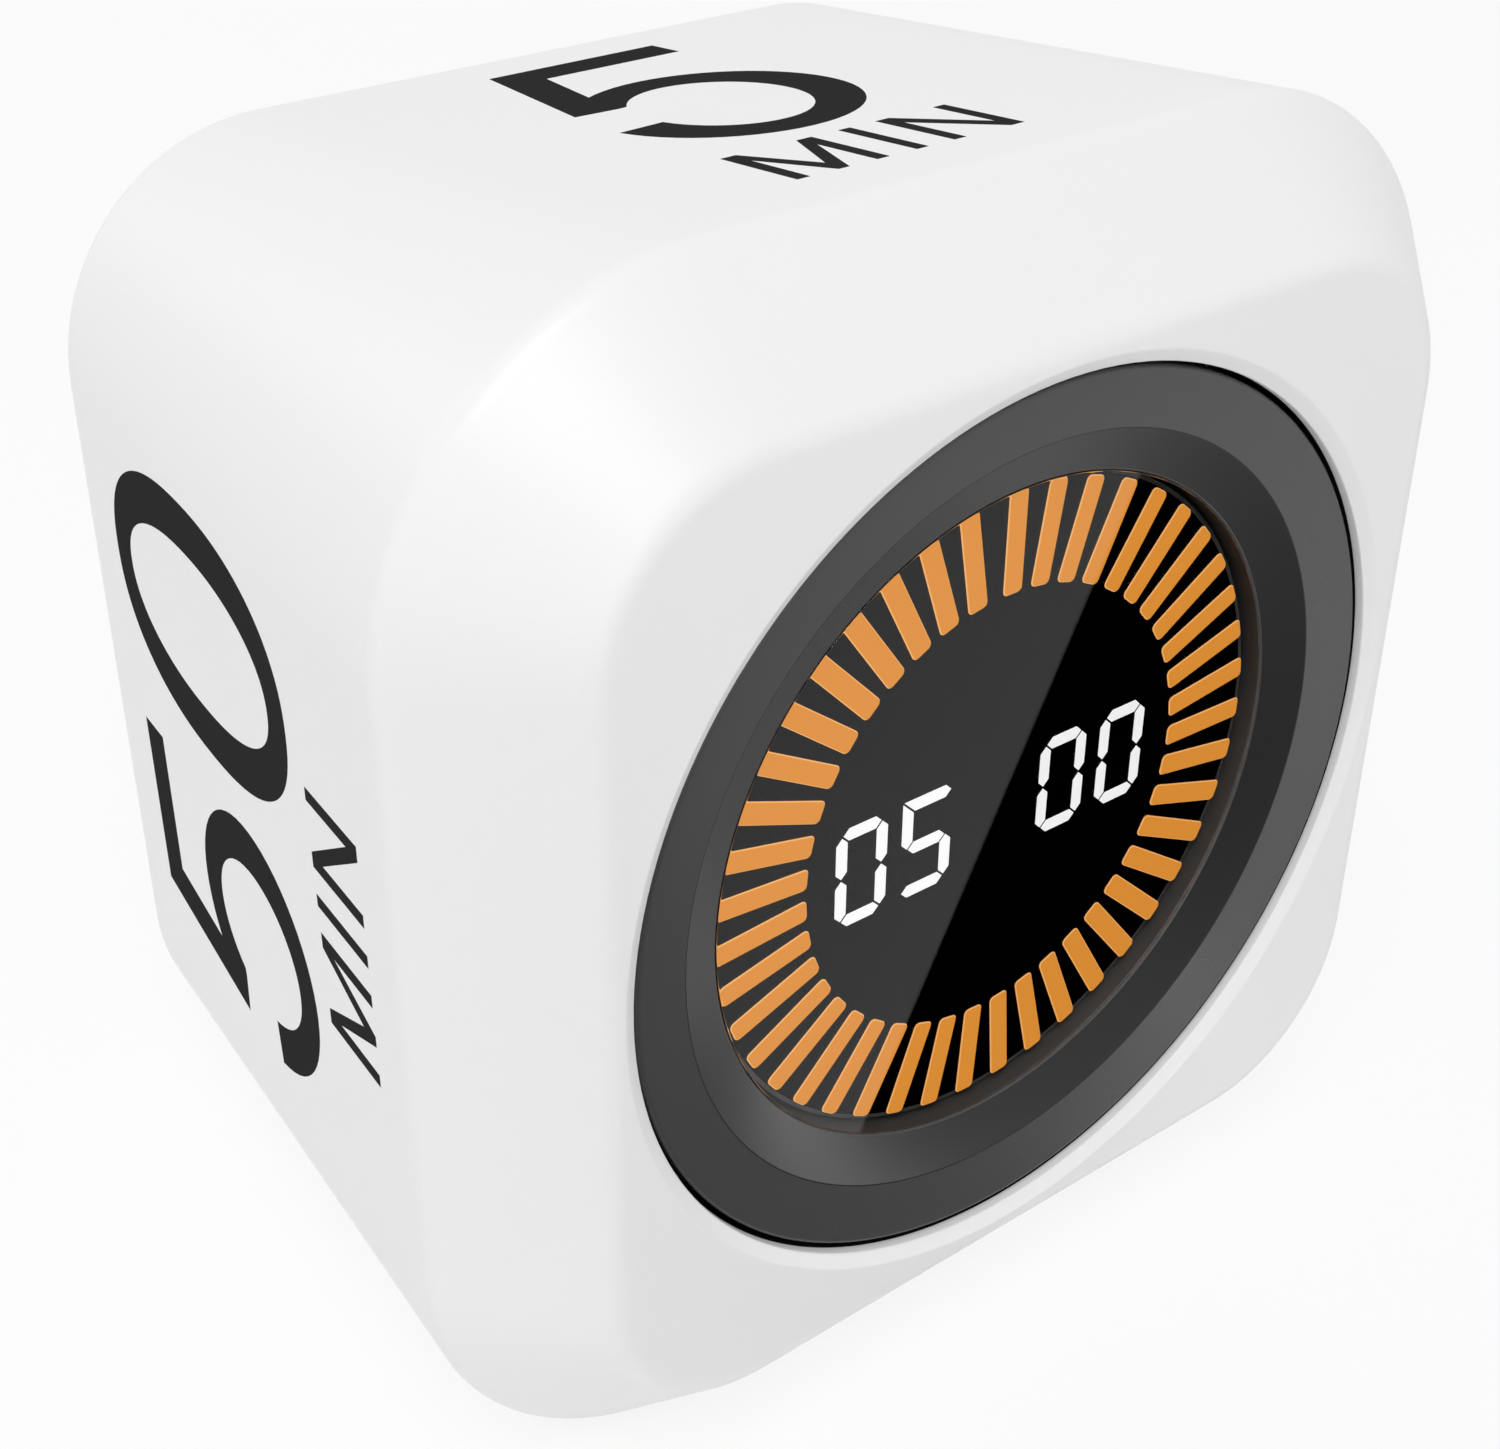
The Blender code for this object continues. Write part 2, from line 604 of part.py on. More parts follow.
def make_rear_cover(finish):
    mesh = bmesh.new()
    corner = back_corner - CASE_WALL - FIT_GAP
    outline = rounded_square_loop(cover_half, corner, CASE_POINTS)
    holes = [circle_loop(screw_hole_radius, TINY_POINTS, (across * corner_boss_place, up * corner_boss_place))
             for across, up in CORNERS]
    holes.append(stadium_loop(PORT_WIDTH + 2 * FIT_GAP, PORT_HEIGHT + 2 * FIT_GAP, port_place))
    slot_width = SLIDER_STEM_WIDTH + 2 * (SLIDER_TRAVEL + RUNNING_GAP)
    holes.append(rectangle_loop(slot_width, SLIDER_STEM_HEIGHT + 2 * RUNNING_GAP, slider_place))
    holes.append(circle_loop(BUTTON_RADIUS + RUNNING_GAP, SMALL_POINTS, button_place))
    for column, row in ((0, 0), (1, 0), (-1, 0), (0, 1), (0, -1), (1, 1), (-1, 1), (-1, -1), (1, -1)):
        place = (speaker_place[0] + column * SOUND_HOLE_PITCH, speaker_place[1] + row * SOUND_HOLE_PITCH)
        holes.append(circle_loop(SOUND_HOLE_RADIUS, TINY_POINTS, place))
    add_prism(mesh, [outline] + holes, cover_front, CASE_DEPTH)
    cover = make_piece("rear_cover", mesh, finish)

    mesh = bmesh.new()
    for across, up in CORNERS:
        place = (across * corner_boss_place, up * corner_boss_place)
        add_cylinder(mesh, screw_head_radius + FIT_GAP, CASE_DEPTH - SCREW_HEAD_HEIGHT - FIT_GAP,
                     CASE_DEPTH + CUT_OVERRUN, SMALL_POINTS, place)
    trough_width = SLIDER_CAP_WIDTH + 2 * (SLIDER_TRAVEL + TROUGH_MARGIN)
    trough_height = SLIDER_CAP_HEIGHT + 2 * TROUGH_MARGIN
    trough_floor = CASE_DEPTH - TROUGH_DEPTH
    add_box(mesh, trough_width, trough_height, trough_floor, CASE_DEPTH + CUT_OVERRUN, slider_place)
    combine(cover, mesh, "DIFFERENCE")

    mesh = bmesh.new()
    for across, up in SIDES:
        place = (across * post_place, up * post_place)
        add_cylinder(mesh, post_radius, board_back + FIT_GAP, cover_front + COVER_THICKNESS / 2,
                     SMALL_POINTS, place)
    combine(cover, mesh, "UNION")

    mesh = bmesh.new()
    for across, up in SIDES:
        place = (across * post_place, up * post_place)
        tip = board_front - FIT_GAP + BOARD_SCREW_LENGTH + BOSS_HOLE_EXTRA
        add_cylinder(mesh, screw_hole_radius, board_back - CUT_OVERRUN, tip, TINY_POINTS, place)
    combine(cover, mesh, "DIFFERENCE")
    return cover


def make_screw_mesh(length, finish):
    """Pan head at depth 0 outward, shank forward to -length; the cross is cut in the head."""
    mesh = bmesh.new()
    edge = SCREW_HEAD_HEIGHT / 3
    profile = [(0, SCREW_HEAD_HEIGHT), (screw_head_radius - edge, SCREW_HEAD_HEIGHT),
               (screw_head_radius, SCREW_HEAD_HEIGHT - edge), (screw_head_radius, 0.0),
               (screw_radius, 0.0), (screw_radius, -length + screw_radius), (0, -length)]
    add_turned(mesh, profile, SMALL_POINTS)
    screw = make_piece("screw_pattern", mesh, finish)
    for width, height in ((CROSS_LENGTH, CROSS_WIDTH), (CROSS_WIDTH, CROSS_LENGTH)):
        mesh = bmesh.new()
        add_box(mesh, width, height, SCREW_HEAD_HEIGHT - CROSS_DEPTH, SCREW_HEAD_HEIGHT + CUT_OVERRUN)
        combine(screw, mesh, "DIFFERENCE")
    data = screw.data
    bpy.data.objects.remove(screw, do_unlink=True)
    return data


def make_screws(name, data, places, depth, facing_back=True):
    screws = []
    for number, place in enumerate(places, 1):
        screw = bpy.data.objects.new(f"{name}_{number}", data)
        bpy.context.collection.objects.link(screw)
        place_piece(screw, place, depth)
        if not facing_back:
            screw.rotation_euler = (math.pi, 0.0, 0.0)
        screws.append(screw)
    return screws


# Dial
def make_dial_ring(finish):
    rim = dial_radius
    profile = [(well_radius, WELL_DEPTH), (ridge_radius, RIDGE_DEPTH), (rim, DIAL_RIM_DEPTH),
               (rim, BORE_DEPTH - RUNNING_GAP), (sleeve_outer, BORE_DEPTH - RUNNING_GAP),
               (sleeve_outer, gear_back), (sleeve_inner, gear_back),
               (sleeve_inner, WELL_LIP_BACK), (well_radius, WELL_LIP_BACK)]
    radii = [0, 0, DIAL_RIM_RADIUS, 0, 0, 0, 0, 0, 0]
    mesh = bmesh.new()
    add_turned(mesh, rounded_profile(profile, radii, closed=True), RING_POINTS)
    return make_piece("dial_ring", mesh, finish)


def make_dial_gear(finish):
    mesh = bmesh.new()
    bore = circle_loop(gear_bore_radius, RING_POINTS)
    add_prism(mesh, [gear_loop(GEAR_TEETH, PINION_ANGLE), bore], gear_front, gear_back)
    return make_piece("dial_gear", mesh, finish)


def make_glide_ring(finish):
    mesh = bmesh.new()
    outline = circle_loop(gear_bore_radius + glide_width, RING_POINTS)
    add_prism(mesh, [outline, circle_loop(gear_bore_radius, RING_POINTS)],
              glide_front, glide_front + GLIDE_THICKNESS)
    return make_piece("glide_ring", mesh, finish)


def make_encoder(body_finish, pinion_finish):
    mesh = bmesh.new()
    shaft_end = frame_back + FIT_GAP + PINION_SHAFT_REACH
    # a tooth gap of the pinion faces the gear's tooth on the line between the centres
    facing = PINION_ANGLE + math.pi + math.pi / PINION_TEETH
    add_prism(mesh, [gear_loop(PINION_TEETH, facing)], gear_front, gear_back)
    pinion = make_piece("encoder_pinion", mesh, pinion_finish)
    mesh = bmesh.new()
    add_cylinder(mesh, PINION_SHAFT_RADIUS, gear_front + GEAR_THICKNESS / 2, shaft_end, SMALL_POINTS)
    combine(pinion, mesh, "UNION")
    place_piece(pinion, pinion_place)

    mesh = bmesh.new()
    front = frame_back + FIT_GAP
    add_box(mesh, encoder_size, encoder_size, front, front + ENCODER_HEIGHT, pinion_place)
    body = make_piece("encoder_body", mesh, body_finish)
    mesh = bmesh.new()
    add_cylinder(mesh, PINION_SHAFT_RADIUS + RUNNING_GAP, front - CUT_OVERRUN, shaft_end + RUNNING_GAP,
                 SMALL_POINTS, pinion_place)
    combine(body, mesh, "DIFFERENCE")
    return body, pinion


# Display
def bar_places():
    """Centre and turn of each bar, clockwise from the top."""
    middle = (bar_inner + bar_outer) / 2
    for number in range(BAR_COUNT):
        turn = math.pi / 2 - number * bar_step
        yield (middle * math.cos(turn), middle * math.sin(turn)), turn


def digit_places():
    pitch = DIGIT_PITCH_SHARE * bar_inner
    pair = PAIR_PITCH_SHARE * bar_inner
    shift = DIGIT_SHIFT_SHARE * bar_inner
    return [shift + side * pair / 2 + place * pitch / 2 for side in (-1, 1) for place in (-1, 1)]


def digit_segments(x):
    """The seven lit areas of a digit centred at x."""
    width = DIGIT_WIDTH_SHARE * bar_inner / 2
    height = DIGIT_HEIGHT_SHARE * bar_inner / 2
    thick = SEGMENT_WIDTH_SHARE * bar_inner
    gap = SEGMENT_GAP_SHARE * bar_inner / 2
    bevel = SEGMENT_BEVEL_SHARE * thick
    outer_x, inner_x = width - bevel - gap, width - thick - gap
    tip = width - thick / 2 - gap
    loops = [[(-tip, 0.0), (-inner_x, thick / 2), (inner_x, thick / 2), (tip, 0.0),
              (inner_x, -thick / 2), (-inner_x, -thick / 2)]]
    for up in (1, -1):
        loops.append([(-outer_x, up * height), (outer_x, up * height),
                      (inner_x, up * (height - thick)), (-inner_x, up * (height - thick))])
        for side in (1, -1):
            loops.append([(side * width, up * (height - bevel - gap)), (side * width, up * (thick / 2 + gap)),
                          (side * (width - thick / 2), up * gap),
                          (side * (width - thick), up * (thick / 2 + gap)),
                          (side * (width - thick), up * (height - thick - gap))])
    rise = DIGIT_RISE_SHARE * bar_inner
    return [[(x + across, rise + up) for across, up in loop] for loop in loops]


def make_window(finish):
    mesh = bmesh.new()
    add_cylinder(mesh, display_radius, WELL_DEPTH, window_back, RING_POINTS)
    return make_piece("display_window", mesh, finish)


def make_mask(finish):
    loops = [circle_loop(display_radius, RING_POINTS)]
    for place, turn in bar_places():
        loops.append(rectangle_loop(bar_length + 2 * SLOT_GAP, bar_width + 2 * SLOT_GAP, place, turn))
    for x in digit_places():
        width = (DIGIT_WIDTH_SHARE + SEGMENT_GAP_SHARE) * bar_inner + SLOT_GAP
        height = (DIGIT_HEIGHT_SHARE + SEGMENT_GAP_SHARE) * bar_inner + SLOT_GAP
        loops.append(rectangle_loop(width, height, (x, DIGIT_RISE_SHARE * bar_inner)))
    mesh = bmesh.new()
    add_prism(mesh, loops, mask_front, mask_back)
    return make_piece("segment_mask", mesh, finish)


def make_bar_guide(finish):
    mesh = bmesh.new()
    inner = bar_inner - GUIDE_LAND
    add_prism(mesh, [circle_loop(display_radius, RING_POINTS), circle_loop(inner, RING_POINTS)],
              guide_front, guide_back)
    guide = make_piece("bar_light_guide", mesh, finish)
    mesh = bmesh.new()
    for place, turn in bar_places():
        add_prism(mesh, [rectangle_loop(bar_length, bar_width, place, turn)],
                  segment_front, guide_front + GUIDE_THICKNESS / 2)
    combine(guide, mesh, "UNION")
    return guide


def make_digit_guide(finish):
    mesh = bmesh.new()
    radius = bar_inner - GUIDE_LAND - FIT_GAP
    add_cylinder(mesh, radius, guide_front, guide_back, RING_POINTS // 2)
    guide = make_piece("digit_light_guide", mesh, finish)
    mesh = bmesh.new()
    for x in digit_places():
        for loop in digit_segments(x):
            add_prism(mesh, [loop], segment_front, guide_front + GUIDE_THICKNESS / 2)
    combine(guide, mesh, "UNION")
    return guide


def make_baffle(finish):
    loops = [circle_loop(display_radius, RING_POINTS)]
    for place, turn in bar_places():
        loops.append(rectangle_loop(bar_length, bar_width, place, turn))
    margin = CELL_MARGIN_SHARE * bar_inner
    for x in digit_places():
        width = DIGIT_WIDTH_SHARE * bar_inner + margin
        height = DIGIT_HEIGHT_SHARE * bar_inner + margin
        loops.append(rectangle_loop(width, height, (x, DIGIT_RISE_SHARE * bar_inner)))
    mesh = bmesh.new()
    add_prism(mesh, loops, baffle_front, baffle_back)
    return make_piece("light_baffle", mesh, finish)


def make_led_board(finish):
    mesh = bmesh.new()
    add_cylinder(mesh, display_radius, led_board_front, led_board_back, RING_POINTS)
    board = make_piece("led_board", mesh, finish)
    mesh = bmesh.new()
    for place, turn in bar_places():
        add_prism(mesh, [rectangle_loop(LED_LENGTH, LED_WIDTH, place, turn)],
                  led_front, led_board_front + LED_BOARD_THICKNESS / 2)
    for x in digit_places():
        add_box(mesh, LED_LENGTH, LED_LENGTH, led_front, led_board_front + LED_BOARD_THICKNESS / 2,
                (x, DIGIT_RISE_SHARE * bar_inner))
    combine(board, mesh, "UNION")
    return board


def make_display_frame(finish):
    inside = half_at(frame_back) - CASE_WALL - FRAME_CLEARANCE
    corner = corner_at(frame_back) - CASE_WALL - FRAME_CLEARANCE
    loops = [rounded_square_loop(inside, corner, CASE_POINTS)]
    for across, up in CORNERS:
        loops.append(circle_loop(corner_boss_radius + FIT_GAP, SMALL_POINTS,
                                 (across * corner_boss_place, up * corner_boss_place)))
    for across, up in SIDES:
        place = (across * side_boss_place, up * side_boss_place)
        loops.append(circle_loop(screw_hole_radius, TINY_POINTS, place))
    loops.append(circle_loop(PINION_SHAFT_RADIUS + RUNNING_GAP, SMALL_POINTS, pinion_place))
    window_width = FLEX_CONNECTOR_WIDTH + 2 * FLEX_WINDOW_MARGIN
    window_height = FLEX_CONNECTOR_HEIGHT + 2 * FLEX_WINDOW_MARGIN
    loops.append(rectangle_loop(window_width, window_height, flex_place))
    mesh = bmesh.new()
    add_prism(mesh, loops, frame_front, frame_back)
    frame = make_piece("display_frame", mesh, finish)
    mesh = bmesh.new()
    foot = frame_front + FRAME_THICKNESS / 2
    add_turned(mesh, [(frame_tube_inner, frame_tube_front), (frame_tube_outer, frame_tube_front),
                      (frame_tube_outer, foot), (frame_tube_inner, foot)], RING_POINTS)
    combine(frame, mesh, "UNION")
    return frame


def make_flex_parts(connector_finish, flex_finish):
    pieces = []
    front = led_board_back + FIT_GAP
    mesh = bmesh.new()
    add_box(mesh, FLEX_CONNECTOR_WIDTH, FLEX_CONNECTOR_HEIGHT, front, front + FLEX_CONNECTOR_DEPTH,
            flex_place)
    pieces.append(make_piece("led_connector", mesh, connector_finish))
    back = front_parts_back
    mesh = bmesh.new()
    add_box(mesh, FLEX_CONNECTOR_WIDTH, FLEX_CONNECTOR_HEIGHT, back - FLEX_CONNECTOR_DEPTH, back,
            flex_place)
    pieces.append(make_piece("flex_connector", mesh, connector_finish))

    # flat cable, bowed out over the battery between the two connectors
    start = front + FLEX_CONNECTOR_DEPTH + FIT_GAP
    end = back - FLEX_CONNECTOR_DEPTH - FIT_GAP
    steps = EDGE_STEPS * 4
    rings = []
    for edge in (-1, 1):
        for step in range(steps + 1):
            share = step / steps if edge < 0 else 1 - step / steps
            depth = start + share * (end - start)
            rise = flex_place[1] + FLEX_BOW * math.sin(math.pi * share) ** 2 + edge * FLEX_THICKNESS / 2
            rings.append((depth, rise))
    mesh = bmesh.new()
    left = [mesh.verts.new((-FLEX_WIDTH / 2, depth, rise)) for depth, rise in rings]
    right = [mesh.verts.new((FLEX_WIDTH / 2, depth, rise)) for depth, rise in rings]
    last = len(rings) - 1
    for step in range(len(rings)):
        after = (step + 1) % len(rings)
        mesh.faces.new((left[step], left[after], right[after], right[step]))
    for side in (left, right):
        for step in range(steps):
            mesh.faces.new((side[step], side[step + 1], side[last - step - 1], side[last - step]))
    pieces.append(make_piece("display_flex", mesh, flex_finish))
    return pieces


# Battery
def make_battery_parts(cell_finish, pad_finish, lead_finish, socket_finish):
    pad_front = frame_back + FIT_GAP
    mesh = bmesh.new()
    add_box(mesh, PAD_WIDTH, PAD_HEIGHT, pad_front, pad_front + PAD_THICKNESS)
    pad = make_piece("battery_pad", mesh, pad_finish)

    front = pad_front + PAD_THICKNESS + FIT_GAP
    back = front + BATTERY_THICKNESS
    mesh = bmesh.new()
    rings = []
    for inset, depth in ((BATTERY_EDGE, front), (0.0, front + BATTERY_EDGE),
                         (0.0, back - BATTERY_EDGE), (BATTERY_EDGE, back)):
        loop = rectangle_loop(BATTERY_WIDTH - 2 * inset, BATTERY_HEIGHT - 2 * inset)
        rings.append([mesh.verts.new((x, depth, z)) for x, z in loop])
    for index in range(len(rings) - 1):
        for step in range(4):
            after = (step + 1) % 4
            mesh.faces.new((rings[index][step], rings[index][after],
                            rings[index + 1][after], rings[index + 1][step]))
    mesh.faces.new(rings[0])
    mesh.faces.new(list(reversed(rings[-1])))
    cell = make_piece("battery", mesh, cell_finish)

    socket_front = front_parts_back - SOCKET_DEPTH
    mesh = bmesh.new()
    add_box(mesh, SOCKET_WIDTH, SOCKET_HEIGHT, socket_front, front_parts_back, socket_place)
    socket = make_piece("battery_socket", mesh, socket_finish)

    # lead from the cell's lower edge back to the socket, in one smooth bow
    start = Vector((socket_place[0], (front + back) / 2, -BATTERY_HEIGHT / 2 - FIT_GAP - LEAD_RADIUS))
    end = Vector((socket_place[0], socket_front - FIT_GAP, socket_place[1]))
    steps = EDGE_STEPS * 4
    mesh = bmesh.new()
    rows = []
    for step in range(steps + 1):
        share = step / steps
        middle = start.lerp(end, share)
        middle.z -= LEAD_BOW * math.sin(math.pi * share) ** 2
        turns = [2 * math.pi * side / TINY_POINTS for side in range(TINY_POINTS)]
        rows.append([mesh.verts.new((middle.x + LEAD_RADIUS * math.cos(turn), middle.y,
                                     middle.z + LEAD_RADIUS * math.sin(turn))) for turn in turns])
    for index in range(steps):
        for side in range(TINY_POINTS):
            after = (side + 1) % TINY_POINTS
            following = rows[index + 1]
            mesh.faces.new((rows[index][side], rows[index][after], following[after], following[side]))
    mesh.faces.new(rows[0])
    mesh.faces.new(list(reversed(rows[-1])))
    lead = make_piece("battery_lead", mesh, lead_finish)
    return pad, cell, socket, lead


# Main board
def make_main_board(finish):
    inside = half_at(board_back) - CASE_WALL - BOARD_CLEARANCE
    corner = corner_at(board_back) - CASE_WALL - BOARD_CLEARANCE
    loops = [rounded_square_loop(inside, corner, CASE_POINTS)]
    for across, up in CORNERS:
        loops.append(circle_loop(corner_boss_radius + FIT_GAP, SMALL_POINTS,
                                 (across * corner_boss_place, up * corner_boss_place)))
    for across, up in SIDES:
        loops.append(circle_loop(screw_hole_radius, TINY_POINTS, (across * post_place, up * post_place)))
    mesh = bmesh.new()
    add_prism(mesh, loops, board_front, board_back)
    return make_piece("main_board", mesh, finish)


def make_chips(finish, can_finish):
    chips = []
    for name, width, height, shares, paint in (
            ("processor_chip", PROCESSOR_SIZE, PROCESSOR_SIZE, PROCESSOR_SHARES, finish),
            ("motion_sensor", SENSOR_SIZE, SENSOR_SIZE, SENSOR_SHARES, finish),
            ("charger_chip", CHARGER_SIZE, CHARGER_SIZE, CHARGER_SHARES, finish),
            ("crystal", CRYSTAL_WIDTH, CRYSTAL_HEIGHT, CRYSTAL_SHARES, can_finish)):
        mesh = bmesh.new()
        place = at_shares(shares, cover_half)
        add_box(mesh, width, height, front_parts_back - CHIP_HEIGHT, front_parts_back, place)
        chips.append(make_piece(name, mesh, paint))
    return chips


def make_port(finish):
    mouth = CASE_DEPTH - PORT_STEP
    mesh = bmesh.new()
    add_prism(mesh, [stadium_loop(PORT_WIDTH, PORT_HEIGHT, port_place)], back_parts_front, mouth)
    port = make_piece("usb_port", mesh, finish)
    inner = stadium_loop(PORT_WIDTH - 2 * PORT_WALL, PORT_HEIGHT - 2 * PORT_WALL, port_place)
    tongue = rectangle_loop(PORT_TONGUE_WIDTH, PORT_TONGUE_HEIGHT, port_place)
    floor = back_parts_front + PORT_FLOOR
    tongue_tip = mouth - PORT_TONGUE_STEP
    mesh = bmesh.new()
    add_prism(mesh, [inner, tongue], floor, tongue_tip)
    combine(port, mesh, "DIFFERENCE")
    mesh = bmesh.new()
    add_prism(mesh, [inner], tongue_tip, mouth + CUT_OVERRUN)
    combine(port, mesh, "DIFFERENCE")
    return port


def make_mode_switch(body_finish, slider_finish):
    body_back = back_parts_front + SWITCH_DEPTH
    mesh = bmesh.new()
    add_box(mesh, SWITCH_WIDTH, SWITCH_HEIGHT, back_parts_front, body_back, slider_place)
    body = make_piece("mode_switch", mesh, body_finish)

    cap_front = CASE_DEPTH - TROUGH_DEPTH + RUNNING_GAP
    cap_back = cap_front + SLIDER_CAP_THICKNESS
    mesh = bmesh.new()
    add_box(mesh, SLIDER_CAP_WIDTH, SLIDER_CAP_HEIGHT, cap_front, cap_back)
    slider = make_piece("mode_slider", mesh, slider_finish)
    mesh = bmesh.new()
    stem_root = cap_back - SLIDER_CAP_THICKNESS / 2
    add_box(mesh, SLIDER_STEM_WIDTH, SLIDER_STEM_HEIGHT, body_back + RUNNING_GAP, stem_root)
    combine(slider, mesh, "UNION")
    mesh = bmesh.new()
    pitch = SLIDER_CAP_WIDTH / (SLIDER_RIB_COUNT + 1)
    for number in range(SLIDER_RIB_COUNT):
        x = (number + 1) * pitch - SLIDER_CAP_WIDTH / 2
        add_box(mesh, SLIDER_RIB_WIDTH, SLIDER_CAP_HEIGHT + CUT_OVERRUN, cap_back - SLIDER_RIB_HEIGHT,
                cap_back + CUT_OVERRUN, (x, 0.0))
    combine(slider, mesh, "DIFFERENCE")
    place_piece(slider, slider_place)
    return body, slider


def make_set_button(body_finish, cap_finish):
    body_back = back_parts_front + TACT_HEIGHT
    mesh = bmesh.new()
    add_box(mesh, TACT_SIZE, TACT_SIZE, back_parts_front, body_back, button_place)
    body = make_piece("button_switch", mesh, body_finish)

    top = CASE_DEPTH - BUTTON_STEP
    flange_rear = cover_front - RUNNING_GAP
    flange_outer = BUTTON_RADIUS + BUTTON_FLANGE
    stem_tip = body_back + RUNNING_GAP + BUTTON_TRAVEL
    profile = [(0, top), (BUTTON_RADIUS, top), (BUTTON_RADIUS, flange_rear), (flange_outer, flange_rear),
               (flange_outer, flange_rear - BUTTON_FLANGE_THICKNESS),
               (BUTTON_STEM_RADIUS, flange_rear - BUTTON_FLANGE_THICKNESS),
               (BUTTON_STEM_RADIUS, stem_tip), (0, stem_tip)]
    rounded = rounded_profile(profile, [0, BUTTON_EDGE, 0, 0, 0, 0, 0, 0])
    mesh = bmesh.new()
    add_turned(mesh, rounded, SMALL_POINTS)
    cap = make_piece("set_button", mesh, cap_finish)
    place_piece(cap, button_place)
    return body, cap


def make_speaker_parts(speaker_finish, gasket_finish, contact_finish):
    gasket_back = cover_front - FIT_GAP
    gasket_front = gasket_back - GASKET_THICKNESS
    mesh = bmesh.new()
    rim = circle_loop(speaker_radius, SMALL_POINTS * 2, speaker_place)
    hole = circle_loop(speaker_radius - GASKET_WIDTH, SMALL_POINTS * 2, speaker_place)
    add_prism(mesh, [rim, hole], gasket_front, gasket_back)
    gasket = make_piece("speaker_gasket", mesh, gasket_finish)

    back = gasket_front - FIT_GAP
    front = back - SPEAKER_HEIGHT
    mesh = bmesh.new()
    profile = [(0, front), (magnet_radius, front), (magnet_radius, back - SPEAKER_RIM_HEIGHT),
               (speaker_radius, back - SPEAKER_RIM_HEIGHT), (speaker_radius, back), (0, back)]
    add_turned(mesh, profile, SMALL_POINTS * 2, speaker_place)
    speaker = make_piece("speaker", mesh, speaker_finish)
    pieces = [gasket, speaker]
    for number, side in enumerate((-1, 1), 1):
        mesh = bmesh.new()
        place = (speaker_place[0] + side * contact_spread, speaker_place[1])
        add_cylinder(mesh, CONTACT_RADIUS, back_parts_front, front - FIT_GAP, TINY_POINTS, place)
        pieces.append(make_piece(f"speaker_contact_{number}", mesh, contact_finish))
    return pieces


def stand_timer(pieces):
    """Lean the timer on its lower side and centre the box it fills over the origin."""
    stand = bpy.data.objects.new("stand", None)
    bpy.context.collection.objects.link(stand)
    stand.rotation_euler = (-draft, 0.0, 0.0)
    for piece in pieces:
        piece.parent = stand
    bpy.context.view_layer.update()
    shell = bpy.data.objects["front_shell"]
    corners = [shell.matrix_world @ vertex.co for vertex in shell.data.vertices]
    lowest = [min(corner[axis] for corner in corners) for axis in range(3)]
    highest = [max(corner[axis] for corner in corners) for axis in range(3)]
    stand.location = (-(lowest[0] + highest[0]) / 2, -(lowest[1] + highest[1]) / 2, -lowest[2])
    bpy.context.view_layer.update()


def make_timer():
    white = make_finish("white_case", (0.80, 0.80, 0.80), 0.45)
    dark = make_finish("dark_dial", (0.045, 0.045, 0.045), 0.40)
    clear = make_finish("clear_window", (0.90, 0.90, 0.90), 0.05)
    black = make_finish("black_mask", (0.005, 0.005, 0.005), 0.30)
    amber = make_finish("amber_guide", (0.80, 0.30, 0.05), 0.40)
    milk = make_finish("milk_guide", (0.90, 0.90, 0.90), 0.40)
    acetal = make_finish("white_acetal", (0.75, 0.75, 0.72), 0.40)
    nylon = make_finish("black_nylon", (0.02, 0.02, 0.02), 0.50)
    laminate = make_finish("green_laminate", (0.02, 0.15, 0.05), 0.50)
    steel = make_finish("plated_steel", (0.60, 0.60, 0.60), 0.30, 1.0)
    brass = make_finish("contact_brass", (0.70, 0.50, 0.20), 0.30, 1.0)
    foam = make_finish("black_foam", (0.03, 0.03, 0.03), 0.90)
    foil = make_finish("silver_foil", (0.55, 0.56, 0.58), 0.35, 0.5)
    film = make_finish("amber_film", (0.45, 0.22, 0.04), 0.45)
    red = make_finish("red_sleeve", (0.50, 0.02, 0.02), 0.50)

    pieces = [make_front_shell(white), make_rear_cover(white)]
    pieces += [make_dial_ring(dark), make_dial_gear(acetal), make_glide_ring(nylon)]
    pieces += make_encoder(nylon, acetal)
    pieces += [make_window(clear), make_mask(black), make_bar_guide(amber), make_digit_guide(milk)]
    pieces += [make_baffle(milk), make_led_board(laminate), make_display_frame(nylon)]
    pieces += make_flex_parts(nylon, film)
    pieces += make_battery_parts(foil, foam, red, acetal)
    pieces += [make_main_board(laminate), make_port(steel)]
    pieces += make_chips(nylon, steel)
    pieces += make_mode_switch(steel, dark)
    pieces += make_set_button(nylon, dark)
    pieces += make_speaker_parts(nylon, foam, brass)

    corner_places = [(across * corner_boss_place, up * corner_boss_place) for across, up in CORNERS]
    side_places = [(across * side_boss_place, up * side_boss_place) for across, up in SIDES]
    post_places = [(across * post_place, up * post_place) for across, up in SIDES]
    pieces += make_screws("rear_screw", make_screw_mesh(SCREW_LENGTH, steel), corner_places,
                          CASE_DEPTH - SCREW_HEAD_HEIGHT)
    pieces += make_screws("frame_screw", make_screw_mesh(FRAME_SCREW_LENGTH, steel), side_places,
                          frame_back + FIT_GAP)
    pieces += make_screws("board_screw", make_screw_mesh(BOARD_SCREW_LENGTH, steel), post_places,
                          board_front - FIT_GAP, facing_back=False)
    stand_timer(pieces)


remove_everything()
make_timer()
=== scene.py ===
import json
import math

